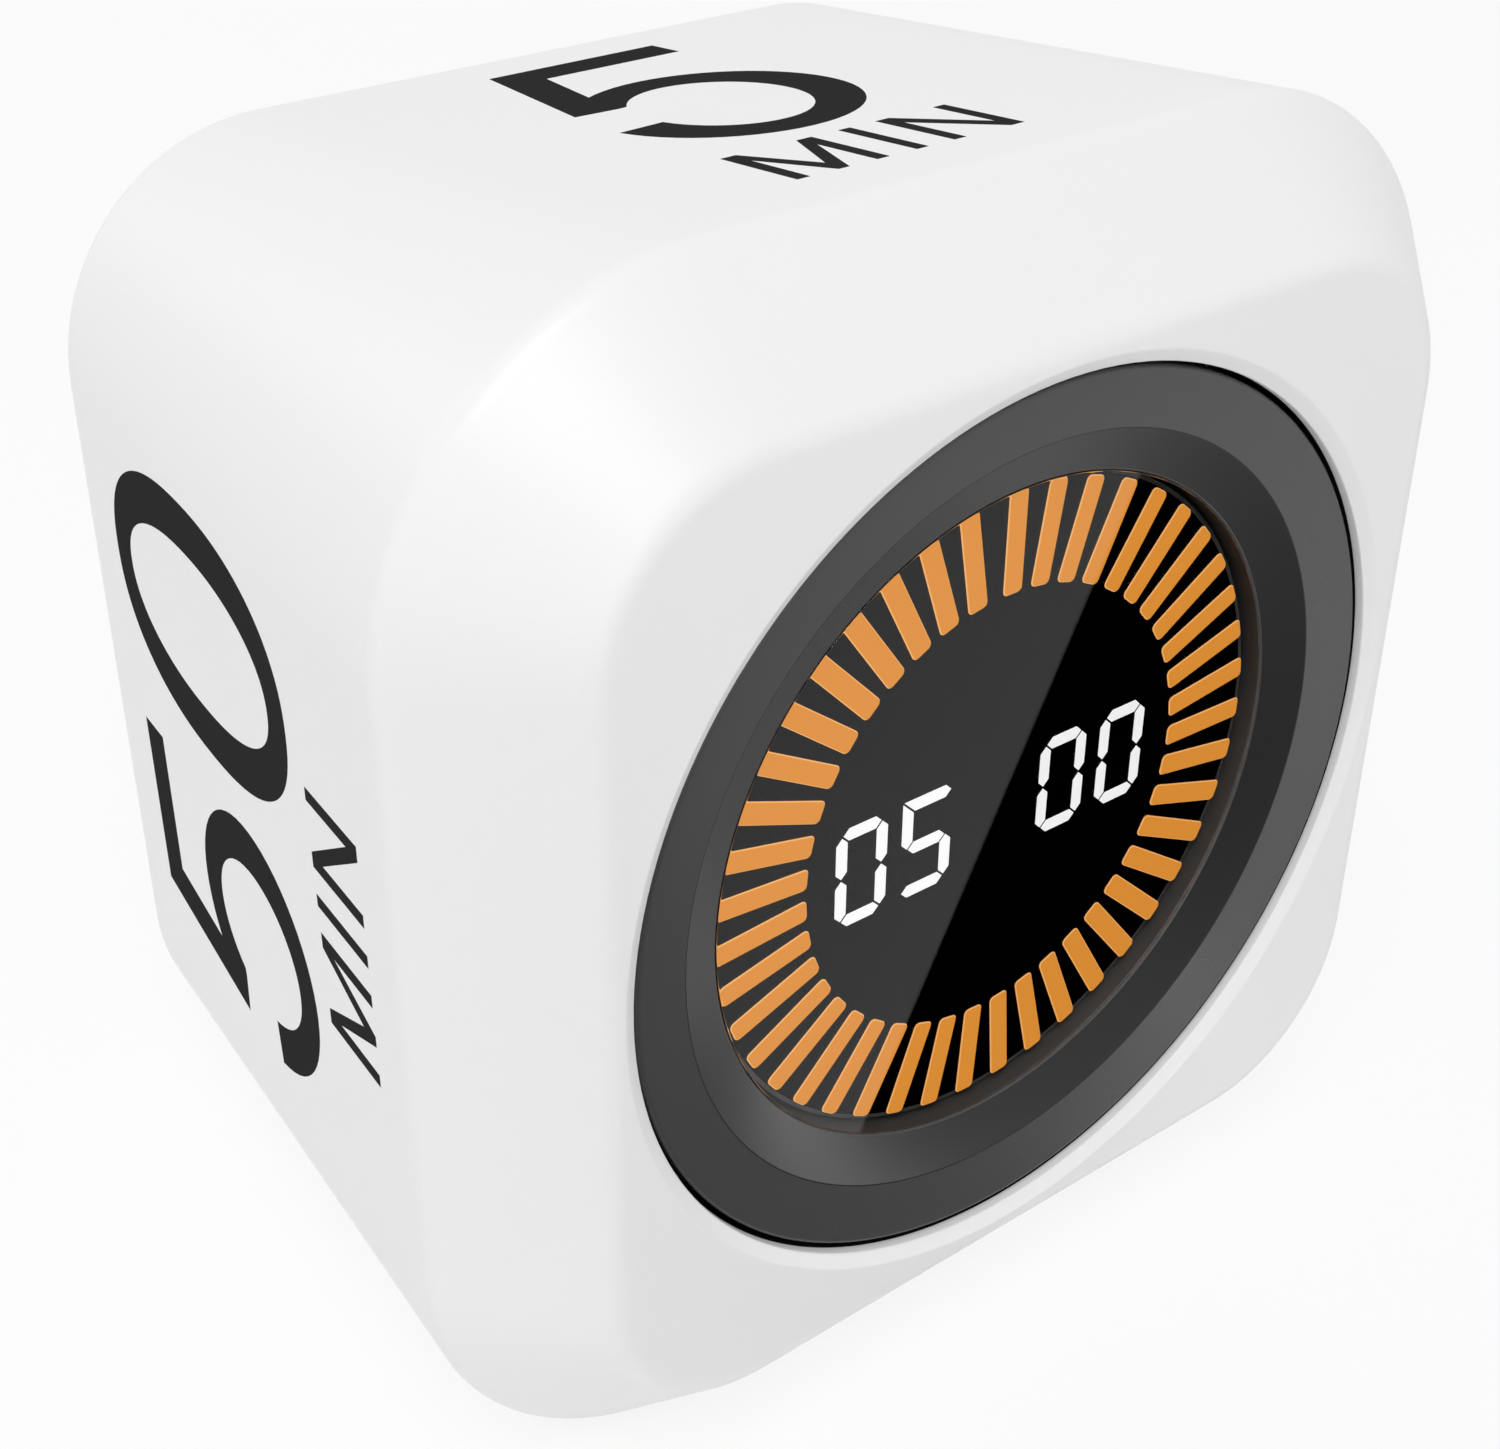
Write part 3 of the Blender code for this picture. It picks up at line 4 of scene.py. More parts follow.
import bmesh
import bpy
import numpy as np
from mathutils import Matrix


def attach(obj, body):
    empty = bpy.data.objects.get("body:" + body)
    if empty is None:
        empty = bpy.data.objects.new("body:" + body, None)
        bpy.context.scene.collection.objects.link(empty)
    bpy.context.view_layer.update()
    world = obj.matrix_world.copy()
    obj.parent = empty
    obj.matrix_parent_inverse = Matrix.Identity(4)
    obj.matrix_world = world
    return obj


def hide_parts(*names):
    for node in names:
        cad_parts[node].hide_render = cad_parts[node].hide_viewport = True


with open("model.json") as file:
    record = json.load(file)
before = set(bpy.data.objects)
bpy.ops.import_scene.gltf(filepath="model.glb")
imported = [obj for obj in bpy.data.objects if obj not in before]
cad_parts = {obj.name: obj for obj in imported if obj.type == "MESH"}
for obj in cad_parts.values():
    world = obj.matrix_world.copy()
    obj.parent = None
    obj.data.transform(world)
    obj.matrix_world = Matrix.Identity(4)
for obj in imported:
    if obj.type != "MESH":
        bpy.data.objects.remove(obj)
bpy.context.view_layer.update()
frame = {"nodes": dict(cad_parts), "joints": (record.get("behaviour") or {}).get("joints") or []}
scene = bpy.context.scene

# Millimetres, square to the dial: x right, y from the front face back, z up
shape = {
    "halves": [23.85, 30.0, 26.7],  # of the case, at the depths below
    "corners": [8.3, 15.0, 11.1],
    "depths": [0.0, 5.9, 40.3],
}
cornerWays = np.array([(1, 1), (-1, 1), (-1, -1), (1, -1)])
sideWays = np.array([(1, 0), (0, 1), (-1, 0), (0, -1)])
dialJoint = next(joint for joint in frame["joints"] if joint["name"] == "dial_turn")
dialPlace = np.array(dialJoint["pos_m"], float)
lean = math.atan2(dialJoint["axis"][2], -dialJoint["axis"][1])


# World metres of local millimetres: turned by the lean about x, then moved to the dial's place
def stood(points):
    points = np.asarray(points, float) * 0.001
    across, depth, up = points[..., 0], points[..., 1], points[..., 2]
    turned = np.stack([across, depth * math.cos(lean) + up * math.sin(lean),
                       up * math.cos(lean) - depth * math.sin(lean)], axis=-1)
    return turned + dialPlace


# Local x, y and z in the world: a metre along each, less the start
axes = [stood(axis) - stood([0, 0, 0]) for axis in np.eye(3) * 1000]


# Local millimetres of world points
def local(points):
    return (np.asarray(points, float).reshape(-1, 3) - dialPlace) * 1000 @ np.array(axes).T


# Half width and corner radius of the case at a depth, straight between the three given
def halfAt(depth):
    return np.interp(depth, shape["depths"], shape["halves"])


def cornerAt(depth):
    return np.interp(depth, shape["depths"], shape["corners"])


# Flat (x, z) points as local points at one depth
def laid(flat, depth):
    return np.stack([flat[:, 0], np.full(len(flat), depth), flat[:, 1]], axis=1)


# A new object of the scene
def newObject(name, data):
    item = bpy.data.objects.new(name, data)
    scene.collection.objects.link(item)
    return item


mergeDistance = 1e-7  # metres


# A mesh from local points and faces, with doubled points merged and its faces turned outwards
def makeMesh(name, points, faces, sharpDegrees=35.0):
    mesh = bpy.data.meshes.new(name)
    mesh.from_pydata(stood(points).tolist(), [], faces)
    work = bmesh.new()
    work.from_mesh(mesh)
    bmesh.ops.remove_doubles(work, verts=work.verts, dist=mergeDistance)
    bmesh.ops.recalc_face_normals(work, faces=work.faces)
    work.to_mesh(mesh)
    work.free()
    mesh.shade_smooth()
    mesh.set_sharp_from_angle(angle=math.radians(sharpDegrees))
    return mesh


# Quads between the rows of a grid of points: the columns join end to start, and the rows too if asked
def gridFaces(rows, columns, closeRows, first=0):
    index = first + np.arange(rows * columns).reshape(rows, columns)
    index = np.hstack([index, index[:, :1]])
    if closeRows:
        index = np.vstack([index, index[:1]])
    corners = [index[:-1, :-1], index[:-1, 1:], index[1:, 1:], index[1:, :-1]]
    return np.stack(corners, axis=-1).reshape(-1, 4).tolist()


# Points and faces of several solids as one list of each
def joined(parts):
    points, faces, first = [], [], 0
    for partPoints, partFaces in parts:
        points.append(np.asarray(partPoints, float).reshape(-1, 3))
        faces += [[first + corner for corner in face] for face in partFaces]
        first += len(points[-1])
    return np.vstack(points), faces


# One field of all items of a mesh, a row to an item
def readField(items, field, width=3):
    values = np.empty(len(items) * width)
    items.foreach_get(field, values)
    return values.reshape(-1, width)


# The middles of a mesh's faces in local millimetres
def faceCentres(mesh):
    return local(readField(mesh.polygons, "center"))


# Gives a mesh its materials, and each face the one at its index
def paint(mesh, materials, index):
    for material in materials:
        mesh.materials.append(material)
    mesh.polygons.foreach_set("material_index", np.asarray(index).astype(np.int32))


flatFrom, slopeFrom = 0.95, 0.4  # least cosines to the front of flat and sloping faces


# Front faces are lit, the slopes round them show the edge finish (on the bars a brighter painted glint), and
# the rest has the guide's dark skin
def litFromFront(mesh, lit, edge, dark, deepest=9.0):
    facing = readField(mesh.polygons, "normal") @ -axes[1]
    shown = faceCentres(mesh)[:, 1] < deepest
    kinds = [shown & (facing > flatFrom), shown & (facing > slopeFrom)]
    paint(mesh, (lit, edge, dark), np.select(kinds, [0, 1], 2))


# A piece named like its mesh: the body that carries it, the CAD node it stands for and a material to add to
# its mesh
def addPiece(mesh, body, node=None, material=None):
    piece = newObject(mesh.name, mesh)
    if material:
        mesh.materials.append(material)
    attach(piece, body)
    if node:
        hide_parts(node)


# A square with rounded corners: on each side even steps along the flat, then even turns round the corner
def squareRing(half, corner, flatSteps, cornerSteps):
    flat = half - corner
    along = np.linspace(-flat, flat, flatSteps, endpoint=False)
    turns = np.linspace(0.0, math.pi / 2, cornerSteps, endpoint=False)
    side = np.stack([np.full(flatSteps, half), along], axis=1)
    arc = np.stack([flat + corner * np.cos(turns), flat + corner * np.sin(turns)], axis=1)
    x, z = np.vstack([side, arc]).T
    quarters = [np.stack(pair, axis=1) for pair in ((x, z), (-z, x), (-x, -z), (z, -x))]
    return np.vstack(quarters)


# A circle's points at the given turns
def circleAt(radius, turns):
    return radius * np.stack([np.cos(turns), np.sin(turns)], axis=1)


# Even turns round a full circle
def evenTurns(count):
    return np.linspace(0.0, 2 * math.pi, count, endpoint=False)


# A profile with arcs in place of corners: an arc of radius r leaves each edge r / tan(half the angle)
# from the corner, and a holding point follows on the edge, so that the flat beside the arc stays flat
def softProfile(corners, radii, steps=6, hold=0.12):
    corners = np.asarray(corners, float)
    result = [corners[0]]
    for index in range(1, len(corners) - 1):
        corner, radius = corners[index], radii[index]
        if not radius:
            result.append(corner)
            continue
        edges = corners[[index - 1, index + 1]] - corner
        lengths = np.linalg.norm(edges, axis=1)
        unit = edges / lengths[:, None]
        halfAngle = math.acos(float(np.clip(unit[0] @ unit[1], -1, 1))) / 2
        tangent = radius / math.tan(halfAngle)
        bisector = (unit[0] + unit[1]) / np.linalg.norm(unit[0] + unit[1])
        centre = corner + bisector * radius / math.sin(halfAngle)
        first, last = corner + unit[0] * tangent - centre, corner + unit[1] * tangent - centre
        sweep = math.pi - 2 * halfAngle
        share = np.linspace(0, 1, steps + 1)[:, None]
        arc = np.sin((1 - share) * sweep) * first + np.sin(share * sweep) * last
        arc = arc / math.sin(sweep) + centre
        holds = [corner + unit[side] * min(tangent + hold, 0.5 * (tangent + lengths[side]))
                 for side in (0, 1)]
        result += [holds[0], *arc, holds[1]] if hold else list(arc)
    result.append(corners[-1])
    return np.array(result)


# The same profile with its long edges cut into even parts no longer than the given length
def refined(profile, longest):
    lengths = np.linalg.norm(np.diff(profile, axis=0), axis=1)
    distance = np.concatenate([[0.0], np.cumsum(lengths)])
    parts = [np.linspace(start, end, int(np.ceil((end - start) / longest)) + 1)[:-1]
             for start, end in zip(distance[:-1], distance[1:]) if end > start]
    places = np.concatenate(parts + [distance[-1:]])
    return np.stack([np.interp(places, distance, profile[:, axis]) for axis in (0, 1)], axis=1)


# A (radius, depth) profile turned about the axis at a place; a closed profile joins its end to its start
def turned(profile, count, place=(0.0, 0.0), closed=True):
    turns = evenTurns(count)
    profile = np.asarray(profile, float)
    rings = np.empty((len(profile), count, 3))
    rings[..., 0] = place[0] + profile[:, :1] * np.cos(turns)
    rings[..., 1] = profile[:, 1:]
    rings[..., 2] = place[1] + profile[:, :1] * np.sin(turns)
    return rings.reshape(-1, 3), gridFaces(len(profile), count, closed)


# Flat outlines and their holes filled between two depths, with rounded edges
def plate(outlines, front, back, edge=0.0, edgeSteps=3):
    curveUnit = 10.0  # mm to one unit of the curve
    curve = bpy.data.curves.new("outline", "CURVE")
    curve.dimensions = "2D"
    curve.fill_mode = "BOTH"
    curve.extrude = ((back - front) / 2 - edge) / curveUnit
    curve.bevel_depth = edge / curveUnit
    curve.bevel_resolution = edgeSteps
    curve.offset = -edge / curveUnit
    for outline in outlines:
        spline = curve.splines.new("POLY")
        spline.points.add(len(outline) - 1)
        flat = np.zeros((len(outline), 4))
        flat[:, :2] = np.asarray(outline) / curveUnit
        spline.points.foreach_set("co", flat.ravel())
        spline.use_cyclic_u = True
    holder = newObject("outline", curve)
    bpy.context.view_layer.update()
    made = holder.evaluated_get(bpy.context.evaluated_depsgraph_get()).to_mesh()
    across, up, depth = readField(made.vertices, "co").T * curveUnit
    faces = [list(face.vertices) for face in made.polygons]
    holder.to_mesh_clear()
    bpy.data.objects.remove(holder)
    bpy.data.curves.remove(curve)
    return np.stack([across, depth + (front + back) / 2, up], axis=1), faces


# Upright solids on convex outlines, their front edges sloped: each corner moves in by the edge times
# (n1 + n2) / (1 + n1.n2), where n1 and n2 are the inward normals of the two sides that meet there
def prisms(outlines, front, back, edge):
    parts = []
    for outline in outlines:
        x, z = outline.T
        if np.sum(x * np.roll(z, -1) - np.roll(x, -1) * z) < 0:
            outline = outline[::-1]
        side = np.roll(outline, -1, axis=0) - outline
        side = side / np.linalg.norm(side, axis=1)[:, None]
        inward = np.stack([-side[:, 1], side[:, 0]], axis=1)
        before = np.roll(inward, 1, axis=0)
        shift = (inward + before) / (1 + np.sum(inward * before, axis=1))[:, None]
        points = np.stack([laid(outline + edge * shift, front), laid(outline, front + edge),
                           laid(outline, back)])
        count = len(outline)
        ends = [list(range(count)), list(range(2 * count, 3 * count))]
        parts.append((points, gridFaces(3, count, False) + ends))
    return joined(parts)


# A rectangle with rounded corners as an outline, turned about its centre
def roundedOutline(width, height, corner, place=(0.0, 0.0), turn=0.0, steps=4):
    quarter = np.linspace(0, math.pi / 2, steps + 1)
    turns = (quarter[None, :] + np.arange(4)[:, None] * math.pi / 2).ravel()
    middle = np.array([width / 2 - corner, height / 2 - corner])
    points = np.repeat(cornerWays, steps + 1, axis=0) * middle + circleAt(corner, turns)
    spin = np.array([[math.cos(turn), math.sin(turn)], [-math.sin(turn), math.cos(turn)]])
    return points @ spin + np.array(place)


# New shader nodes of the kinds named
def newNodes(nodes, *kinds):
    return [nodes.new("ShaderNode" + kind) for kind in kinds]


# Gives inputs of a node their values
def setInputs(node, values):
    for name, value in values.items():
        node.inputs[name].default_value = value


# Slow drift, fine grain and sparse scuffs: detail and roughness of each noise, and what the scuffs do
grainShape = {
    "inputs": ("Colour", "Colour Drift", "Roughness", "Roughness Drift", "Grain Size", "Drift Size", "Wear"),
    "outputs": ("Colour", "Roughness", "Height"),
    "drift": (3.0, 0.55),
    "fine": (4.0, 0.6),
    "scuffs": (6.0, 0.7),
    "scuffScale": 7.0,  # times the drift's
    "scuffRange": {"From Min": 0.62, "From Max": 0.80},
    "scuffRoughness": 0.12,
    "scuffHeight": 0.5,
}


# A group whose outputs are a colour that drifts, a roughness that drifts and a fine height for a bump
def makeGrainGroup():
    group = bpy.data.node_groups.new("grain", "ShaderNodeTree")
    for way in ("INPUT", "OUTPUT"):
        for name in grainShape[way.lower() + "s"]:
            kind = "NodeSocketColor" if name == "Colour" else "NodeSocketFloat"
            group.interface.new_socket(name, in_out=way, socket_type=kind)
    nodes, links = group.nodes, group.links
    given, made = nodes.new("NodeGroupInput").outputs, nodes.new("NodeGroupOutput").inputs
    place = nodes.new("ShaderNodeTexCoord")

    def noise(scaleSocket, detail, roughness):
        node = nodes.new("ShaderNodeTexNoise")
        setInputs(node, {"Detail": detail, "Roughness": roughness})
        links.new(place.outputs["Object"], node.inputs["Vector"])
        links.new(scaleSocket, node.inputs["Scale"])
        return node.outputs["Fac"]

    def reckon(operation, *values):
        node = nodes.new("ShaderNodeMath")
        node.operation = operation
        for socket, value in zip(node.inputs, values):
            if isinstance(value, float):
                socket.default_value = value
            else:
                links.new(value, socket)
        return node.outputs[0]

    drift = reckon("SUBTRACT", noise(given["Drift Size"], *grainShape["drift"]), 0.5)
    fine = noise(given["Grain Size"], *grainShape["fine"])
    scuffs = nodes.new("ShaderNodeMapRange")
    setInputs(scuffs, grainShape["scuffRange"])
    scuffSize = reckon("MULTIPLY", given["Drift Size"], grainShape["scuffScale"])
    links.new(noise(scuffSize, *grainShape["scuffs"]), scuffs.inputs["Value"])
    worn = reckon("MULTIPLY", scuffs.outputs["Result"], given["Wear"])

    # Lightness is 1 + 2 x drift x its share + (fine - 0.5) x the same share
    lightness = reckon("MULTIPLY_ADD", reckon("MULTIPLY", drift, given["Colour Drift"]), 2.0, 1.0)
    lightness = reckon("MULTIPLY_ADD", reckon("SUBTRACT", fine, 0.5), given["Colour Drift"], lightness)
    tint = nodes.new("ShaderNodeVectorMath")
    tint.operation = "SCALE"
    links.new(given["Colour"], tint.inputs[0])
    links.new(lightness, tint.inputs["Scale"])
    links.new(tint.outputs["Vector"], made["Colour"])
    rough = reckon("MULTIPLY_ADD", drift, given["Roughness Drift"], given["Roughness"])
    rough = reckon("ADD", rough, reckon("MULTIPLY", worn, grainShape["scuffRoughness"]))
    links.new(rough, made["Roughness"])
    height = reckon("SUBTRACT", fine, reckon("MULTIPLY", worn, grainShape["scuffHeight"]))
    links.new(height, made["Height"])
    return group


grainGroup = makeGrainGroup()


# A new material with its nodes and links
def newMaterial(name):
    material = bpy.data.materials.new(name)
    material.use_nodes = True
    return material, material.node_tree.nodes, material.node_tree.links


# A principled material whose colour, roughness and bump come from the grain group; a grey is one number
def makeMaterial(name, colour, roughness, metallic=0.0, specular=0.5, drift=0.05, roughDrift=0.06,
                 grain=4000.0, driftSize=60.0, bump=0.2, bumpDistance=0.00002, wear=0.0, emission=None,
                 emissionStrength=1.0, coat=0.0, subsurface=0.0):
    material, nodes, links = newMaterial(name)
    shader, group = nodes["Principled BSDF"], nodes.new("ShaderNodeGroup")
    group.node_tree = grainGroup
    colour = colour if isinstance(colour, tuple) else (colour,) * 3
    setInputs(group, {"Colour": (*colour, 1), "Colour Drift": drift, "Roughness": roughness,
                      "Roughness Drift": roughDrift, "Grain Size": grain, "Drift Size": driftSize,
                      "Wear": wear})
    links.new(group.outputs["Colour"], shader.inputs["Base Color"])
    links.new(group.outputs["Roughness"], shader.inputs["Roughness"])
    setInputs(shader, {"Metallic": metallic, "Specular IOR Level": specular, "Coat Weight": coat,
                       "Coat Roughness": 0.1})
    if subsurface:
        setInputs(shader, {"Subsurface Weight": subsurface, "Subsurface Scale": 0.001})
    if emission:
        setInputs(shader, {"Emission Color": (*emission, 1), "Emission Strength": emissionStrength})
    if bump:
        relief = nodes.new("ShaderNodeBump")
        setInputs(relief, {"Strength": bump, "Distance": bumpDistance})
        links.new(group.outputs["Height"], relief.inputs["Height"])
        links.new(relief.outputs["Normal"], shader.inputs["Normal"])
    return material


# The material's surface: the first at a factor of 0, the second at 1
def mixSurfaces(nodes, links, factor, first, second):
    mix = nodes.new("ShaderNodeMixShader")
    for output, socket in zip((factor, first, second), mix.inputs):
        links.new(output, socket)
    links.new(mix.outputs["Shader"], nodes["Material Output"].inputs["Surface"])


# Clear plastic that lets lamp light straight through, since a pane this thin throws no shadow
def makeClear(name, roughness, ior):
    material = makeMaterial(name, 1.0, roughness, roughDrift=0.0, drift=0.0, bump=0.0)
    nodes, links = material.node_tree.nodes, material.node_tree.links
    shader = nodes["Principled BSDF"]
    setInputs(shader, {"Transmission Weight": 1.0, "IOR": ior})
    path, through = newNodes(nodes, "LightPath", "BsdfTransparent")
    mixSurfaces(nodes, links, path.outputs["Is Shadow Ray"], shader.outputs["BSDF"],
                through.outputs["BSDF"])
    return material


finish = {
    "case": makeMaterial("whitePlastic", 0.86, 0.36, drift=0.006, grain=5200.0, bump=0.12, wear=0.15),
    # The cone's grey: painted shade, a darker and less glossy copy of the dial's grey that stands in for the
    # cone's shading
    "shadedCone": makeMaterial("coneShadeGrey", 0.009, 0.25, specular=0.32, drift=0.03, grain=4200.0, bump=0.1),
    # The wall's grey: painted light, a lighter copy of the dial's grey for the poorly lit wall inside the
    # window
    "wall": makeMaterial("wallLitGrey", 0.080, 0.6, specular=0.1, drift=0.03),
    # The bore's black: painted shade on the bore wall deep in the gap round the dial, where shadow falls
    "bore": makeMaterial("boreShadeBlack", 0.006, 0.6, specular=0.1, bump=0.1),
    "dial": makeMaterial("greyPlastic", 0.050, 0.27, drift=0.03, grain=4200.0, bump=0.15),
    "rearGrey": makeMaterial("rearGrey", 0.060, 0.42, drift=0.03, grain=5200.0, bump=0.25, wear=0.10),
    "print": makeMaterial("ink", (0.030, 0.030, 0.031), 0.50, specular=0.0, grain=6000.0, bump=0.1),
    "window": makeClear("clearWindow", 0.0, 1.5),
    "mask": makeMaterial("maskBlack", 0.0008, 0.6, specular=0.0, drift=0.02, bump=0.05),
    # The mask's rim: painted highlight, a grey ring that stands in for the light line round the display
    "rim": makeMaterial("maskRimHighlight", 0.10, 0.4, bump=0.05),
    # The bars' edges: painted highlight, a brighter amber glow on the bevels that stands in for their glint
    "barEdgeGlints": makeMaterial("barEdgeGlintAmber", (0.25, 0.12, 0.04), 0.35, specular=0.2, bump=0.02,
                             emission=(0.86, 0.42, 0.13)),
    "bars": makeMaterial("barAmber", (0.12, 0.03, 0.003), 0.35, specular=0.0, bump=0.02,
                         emission=(0.75, 0.287, 0.040)),
    "digits": makeMaterial("digitWhite", 0.4, 0.4, specular=0.2, drift=0.01, bump=0.02,
                           emission=(1.0, 1.0, 1.0), emissionStrength=0.85),
    "smoked": makeMaterial("smokedGuide", 0.0009, 0.5, specular=0.0, drift=0.02, bump=0.02),
    "acetal": makeMaterial("acetal", (0.78, 0.78, 0.74), 0.38, drift=0.015, subsurface=0.1),
    "nylon": makeMaterial("blackNylon", (0.022, 0.022, 0.023), 0.52, drift=0.08, bump=0.3),
    "laminate": makeMaterial("greenLaminate", (0.018, 0.13, 0.045), 0.36, drift=0.10, driftSize=420.0,
                             grain=2500.0, coat=0.3),
    "steel": makeMaterial("platedSteel", (0.60, 0.60, 0.59), 0.30, metallic=1.0, drift=0.04,
                          driftSize=300.0, roughDrift=0.12, wear=0.3),
    "brass": makeMaterial("springBrass", (0.70, 0.50, 0.20), 0.28, metallic=1.0, roughDrift=0.10),
    "foam": makeMaterial("blackFoam", 0.028, 0.92, specular=0.2, drift=0.25, grain=2600.0, bump=1.0,
                         bumpDistance=0.0001),
    "foil": makeMaterial("silverFoil", (0.58, 0.59, 0.61), 0.34, metallic=0.8, drift=0.04,
                         driftSize=160.0, bump=0.5, bumpDistance=0.00005),
    "film": makeMaterial("amberFilm", (0.42, 0.20, 0.035), 0.30, drift=0.06, driftSize=500.0, coat=0.5),
    "sleeve": makeMaterial("redSleeve", (0.48, 0.018, 0.018), 0.45),
}
nodeFinishes = {
    "acetal": ["dial_gear", "encoder_pinion", "battery_socket", "light_baffle"],
    "nylon": ["glide_ring", "encoder_body", "display_frame", "led_connector", "flex_connector",
              "processor_chip", "motion_sensor", "charger_chip", "button_switch", "speaker"],
    "laminate": ["led_board", "main_board"],
    "steel": ["crystal", "mode_switch"] + [f"{kind}_screw_{number}" for number in (1, 2, 3, 4)
                                           for kind in ("frame", "board")],
    "brass": ["speaker_contact_1", "speaker_contact_2"],
    "foam": ["battery_pad", "speaker_gasket"],
    "foil": ["battery"],
    "film": ["display_flex"],
    "sleeve": ["battery_lead"],
}
for name, nodeNames in nodeFinishes.items():
    for nodeName in nodeNames:
        for nodeSlot in frame["nodes"][nodeName].material_slots:
            nodeSlot.material = finish[name]
print("materials made")

# Case: rings from the bore over the lip, the front face, the shoulders and the sides to the back, then
# home through the inside
caseShape = {
    "bore": [(22.5, 5.0), (22.45, 4.6), (22.45, 0.87), (22.45, 0.38), (23.1, 0.0), (23.27, 0.0)],
    "boreRadii": [0, 0, 0, 0.12, 0.28, 0],
    "paintedShadeBore": (22.6, 0.87, 5.0),  # greatest radius and both depths of the bore's black band: painted shade for the shadowed gap round the dial
    "outer": [(23.27, 0.0), (23.85, 0.0), (30.0, 5.9), (26.7, 40.3), (24.7, 40.3)],
    "outerRadii": [0, 1.4, 1.2, 0.75, 0],
    "inner": [(24.7, 40.3, 9.1), (27.925, 6.681, 12.911), (24.15, 3.059, 9.774)],  # half, depth, corner
    "collar": [(24.0, 3.059), (24.0, 6.4), (20.26, 6.4), (20.26, 5.0)],
    "flatSteps": 32,
    "cornerSteps": 24,
    "longest": 2.5,
    "cornerBoss": {"profile": [(0, 2.1), (2.5, 2.1), (2.5, 38.0), (1.1, 38.0), (1.1, 32.2), (0, 32.2)],
                   "place": 19.5},
    "sideBoss": {"profile": [(0, 3.4), (2.0, 3.4), (2.0, 8.9), (1.1, 8.9), (1.1, 5.4), (0, 5.4)],
                 "place": 24.9},
    "bossSteps": 32,
}


# Where a ring is narrower than the case, its corners lose as much radius as it lacks in half width
def makeCase():
    steps = (caseShape["flatSteps"], caseShape["cornerSteps"])
    mouth = squareRing(halfAt(0.0), cornerAt(0.0), *steps)
    turns = np.arctan2(mouth[:, 1], mouth[:, 0])
    bore = softProfile(caseShape["bore"], caseShape["boreRadii"], steps=4, hold=0.0)
    rings = [(circleAt(radius, turns), depth) for radius, depth in bore]
    outer = refined(softProfile(caseShape["outer"], caseShape["outerRadii"], steps=7), caseShape["longest"])
    rings += [(squareRing(half, cornerAt(depth) - (halfAt(depth) - half), *steps), depth)
              for half, depth in outer]
    rings += [(squareRing(half, corner, *steps), depth) for half, depth, corner in caseShape["inner"]]
    rings += [(circleAt(radius, turns), depth) for radius, depth in caseShape["collar"]]
    points = np.stack([laid(ring, depth) for ring, depth in rings])
    parts = [(points, gridFaces(len(rings), len(turns), True))]
    for boss, ways in ((caseShape["cornerBoss"], cornerWays), (caseShape["sideBoss"], sideWays)):
        parts += [turned(boss["profile"], caseShape["bossSteps"], way * boss["place"], False)
                  for way in ways]
    mesh = makeMesh("caseSkin", *joined(parts), sharpDegrees=40.0)
    across, depth, up = faceCentres(mesh).T
    # Faces deep in the bore get the black: painted shade for the shadow in the gap round the dial
    radius, first, last = caseShape["paintedShadeBore"]
    paint(mesh, (finish["case"], finish["bore"]),
          (np.hypot(across, up) < radius) & (depth > first) & (depth < last))
    addPiece(mesh, "case", "front_shell")


makeCase()
print("case made")

# Printed minutes: outlines in units of the photographed glyphs, y down
glyphs = {
    "unit": 22.14 / 538.46,  # mm to one unit along the reading direction
    "originAlong": 700.0,
    "originUp": 457.7,
    "depthAtOrigin": 1.0446 * 22.14,  # mm behind the front face
    "shrink": 0.9954,  # depth of a step along the drafted side
    "lift": 0.003,
    "thickness": 0.02,
    # Left and right of each letter, then the word's top and bottom
    "word": ([(570, 691), (725, 741), (775, 874)], 677, 803),
    "topWord": ([(529, 648), (684, 700), (735, 833)], 662, 787),
}


# An ellipse's points between two angles, y down
def ellipse(centre, radii, start, end, count=48):
    turns = np.radians(np.linspace(start, end, count))
    return np.stack([centre[0] + radii[0] * np.cos(turns), centre[1] + radii[1] * np.sin(turns)], axis=1)


# A superellipse: each of cos and sin raised to 2 / power
def superEllipse(centre, radii, power, count=96):
    turns = evenTurns(count)
    c, s = np.cos(turns), np.sin(turns)
    x = np.sign(c) * np.abs(c) ** (2 / power)
    y = np.sign(s) * np.abs(s) ** (2 / power)
    return np.stack([centre[0] + radii[0] * x, centre[1] + radii[1] * y], axis=1)


# The bowls of a five and a two lie between two ellipses, and a zero between two superellipses
def fiveOutlines():
    outer = ellipse((544, 471), (159, 165), -120.5, 170.2)
    inner = ellipse((543, 471), (98, 116), 168.0, -144.0)
    return [np.vstack([[(443, 148), (681, 148), (681, 205), (488, 204)], outer, [(386, 499), (446, 495)],
                       inner, [(453, 404), (397, 399)]])]


def zeroOutlines(left=757.0):
    centre = (left + 157.0, 391.5)
    return [superEllipse(centre, (157, 248.5), 2.3), superEllipse(centre, (96, 200.5), 2.2)]


def twoOutlines():
    outer = ellipse((544, 302), (155, 159), -188.0, 22.0)
    inner = ellipse((544, 302), (95, 108), 20.0, -186.0)
    return [np.vstack([outer, [(652, 436), (470, 584), (705, 584), (705, 640), (385, 640), (385, 586),
                               (600, 408)], inner])]


def oneOutlines():
    return [np.array([(575, 143), (622, 143), (622, 640), (562, 640), (562, 225), (478, 272), (478, 215)],
                     float)]


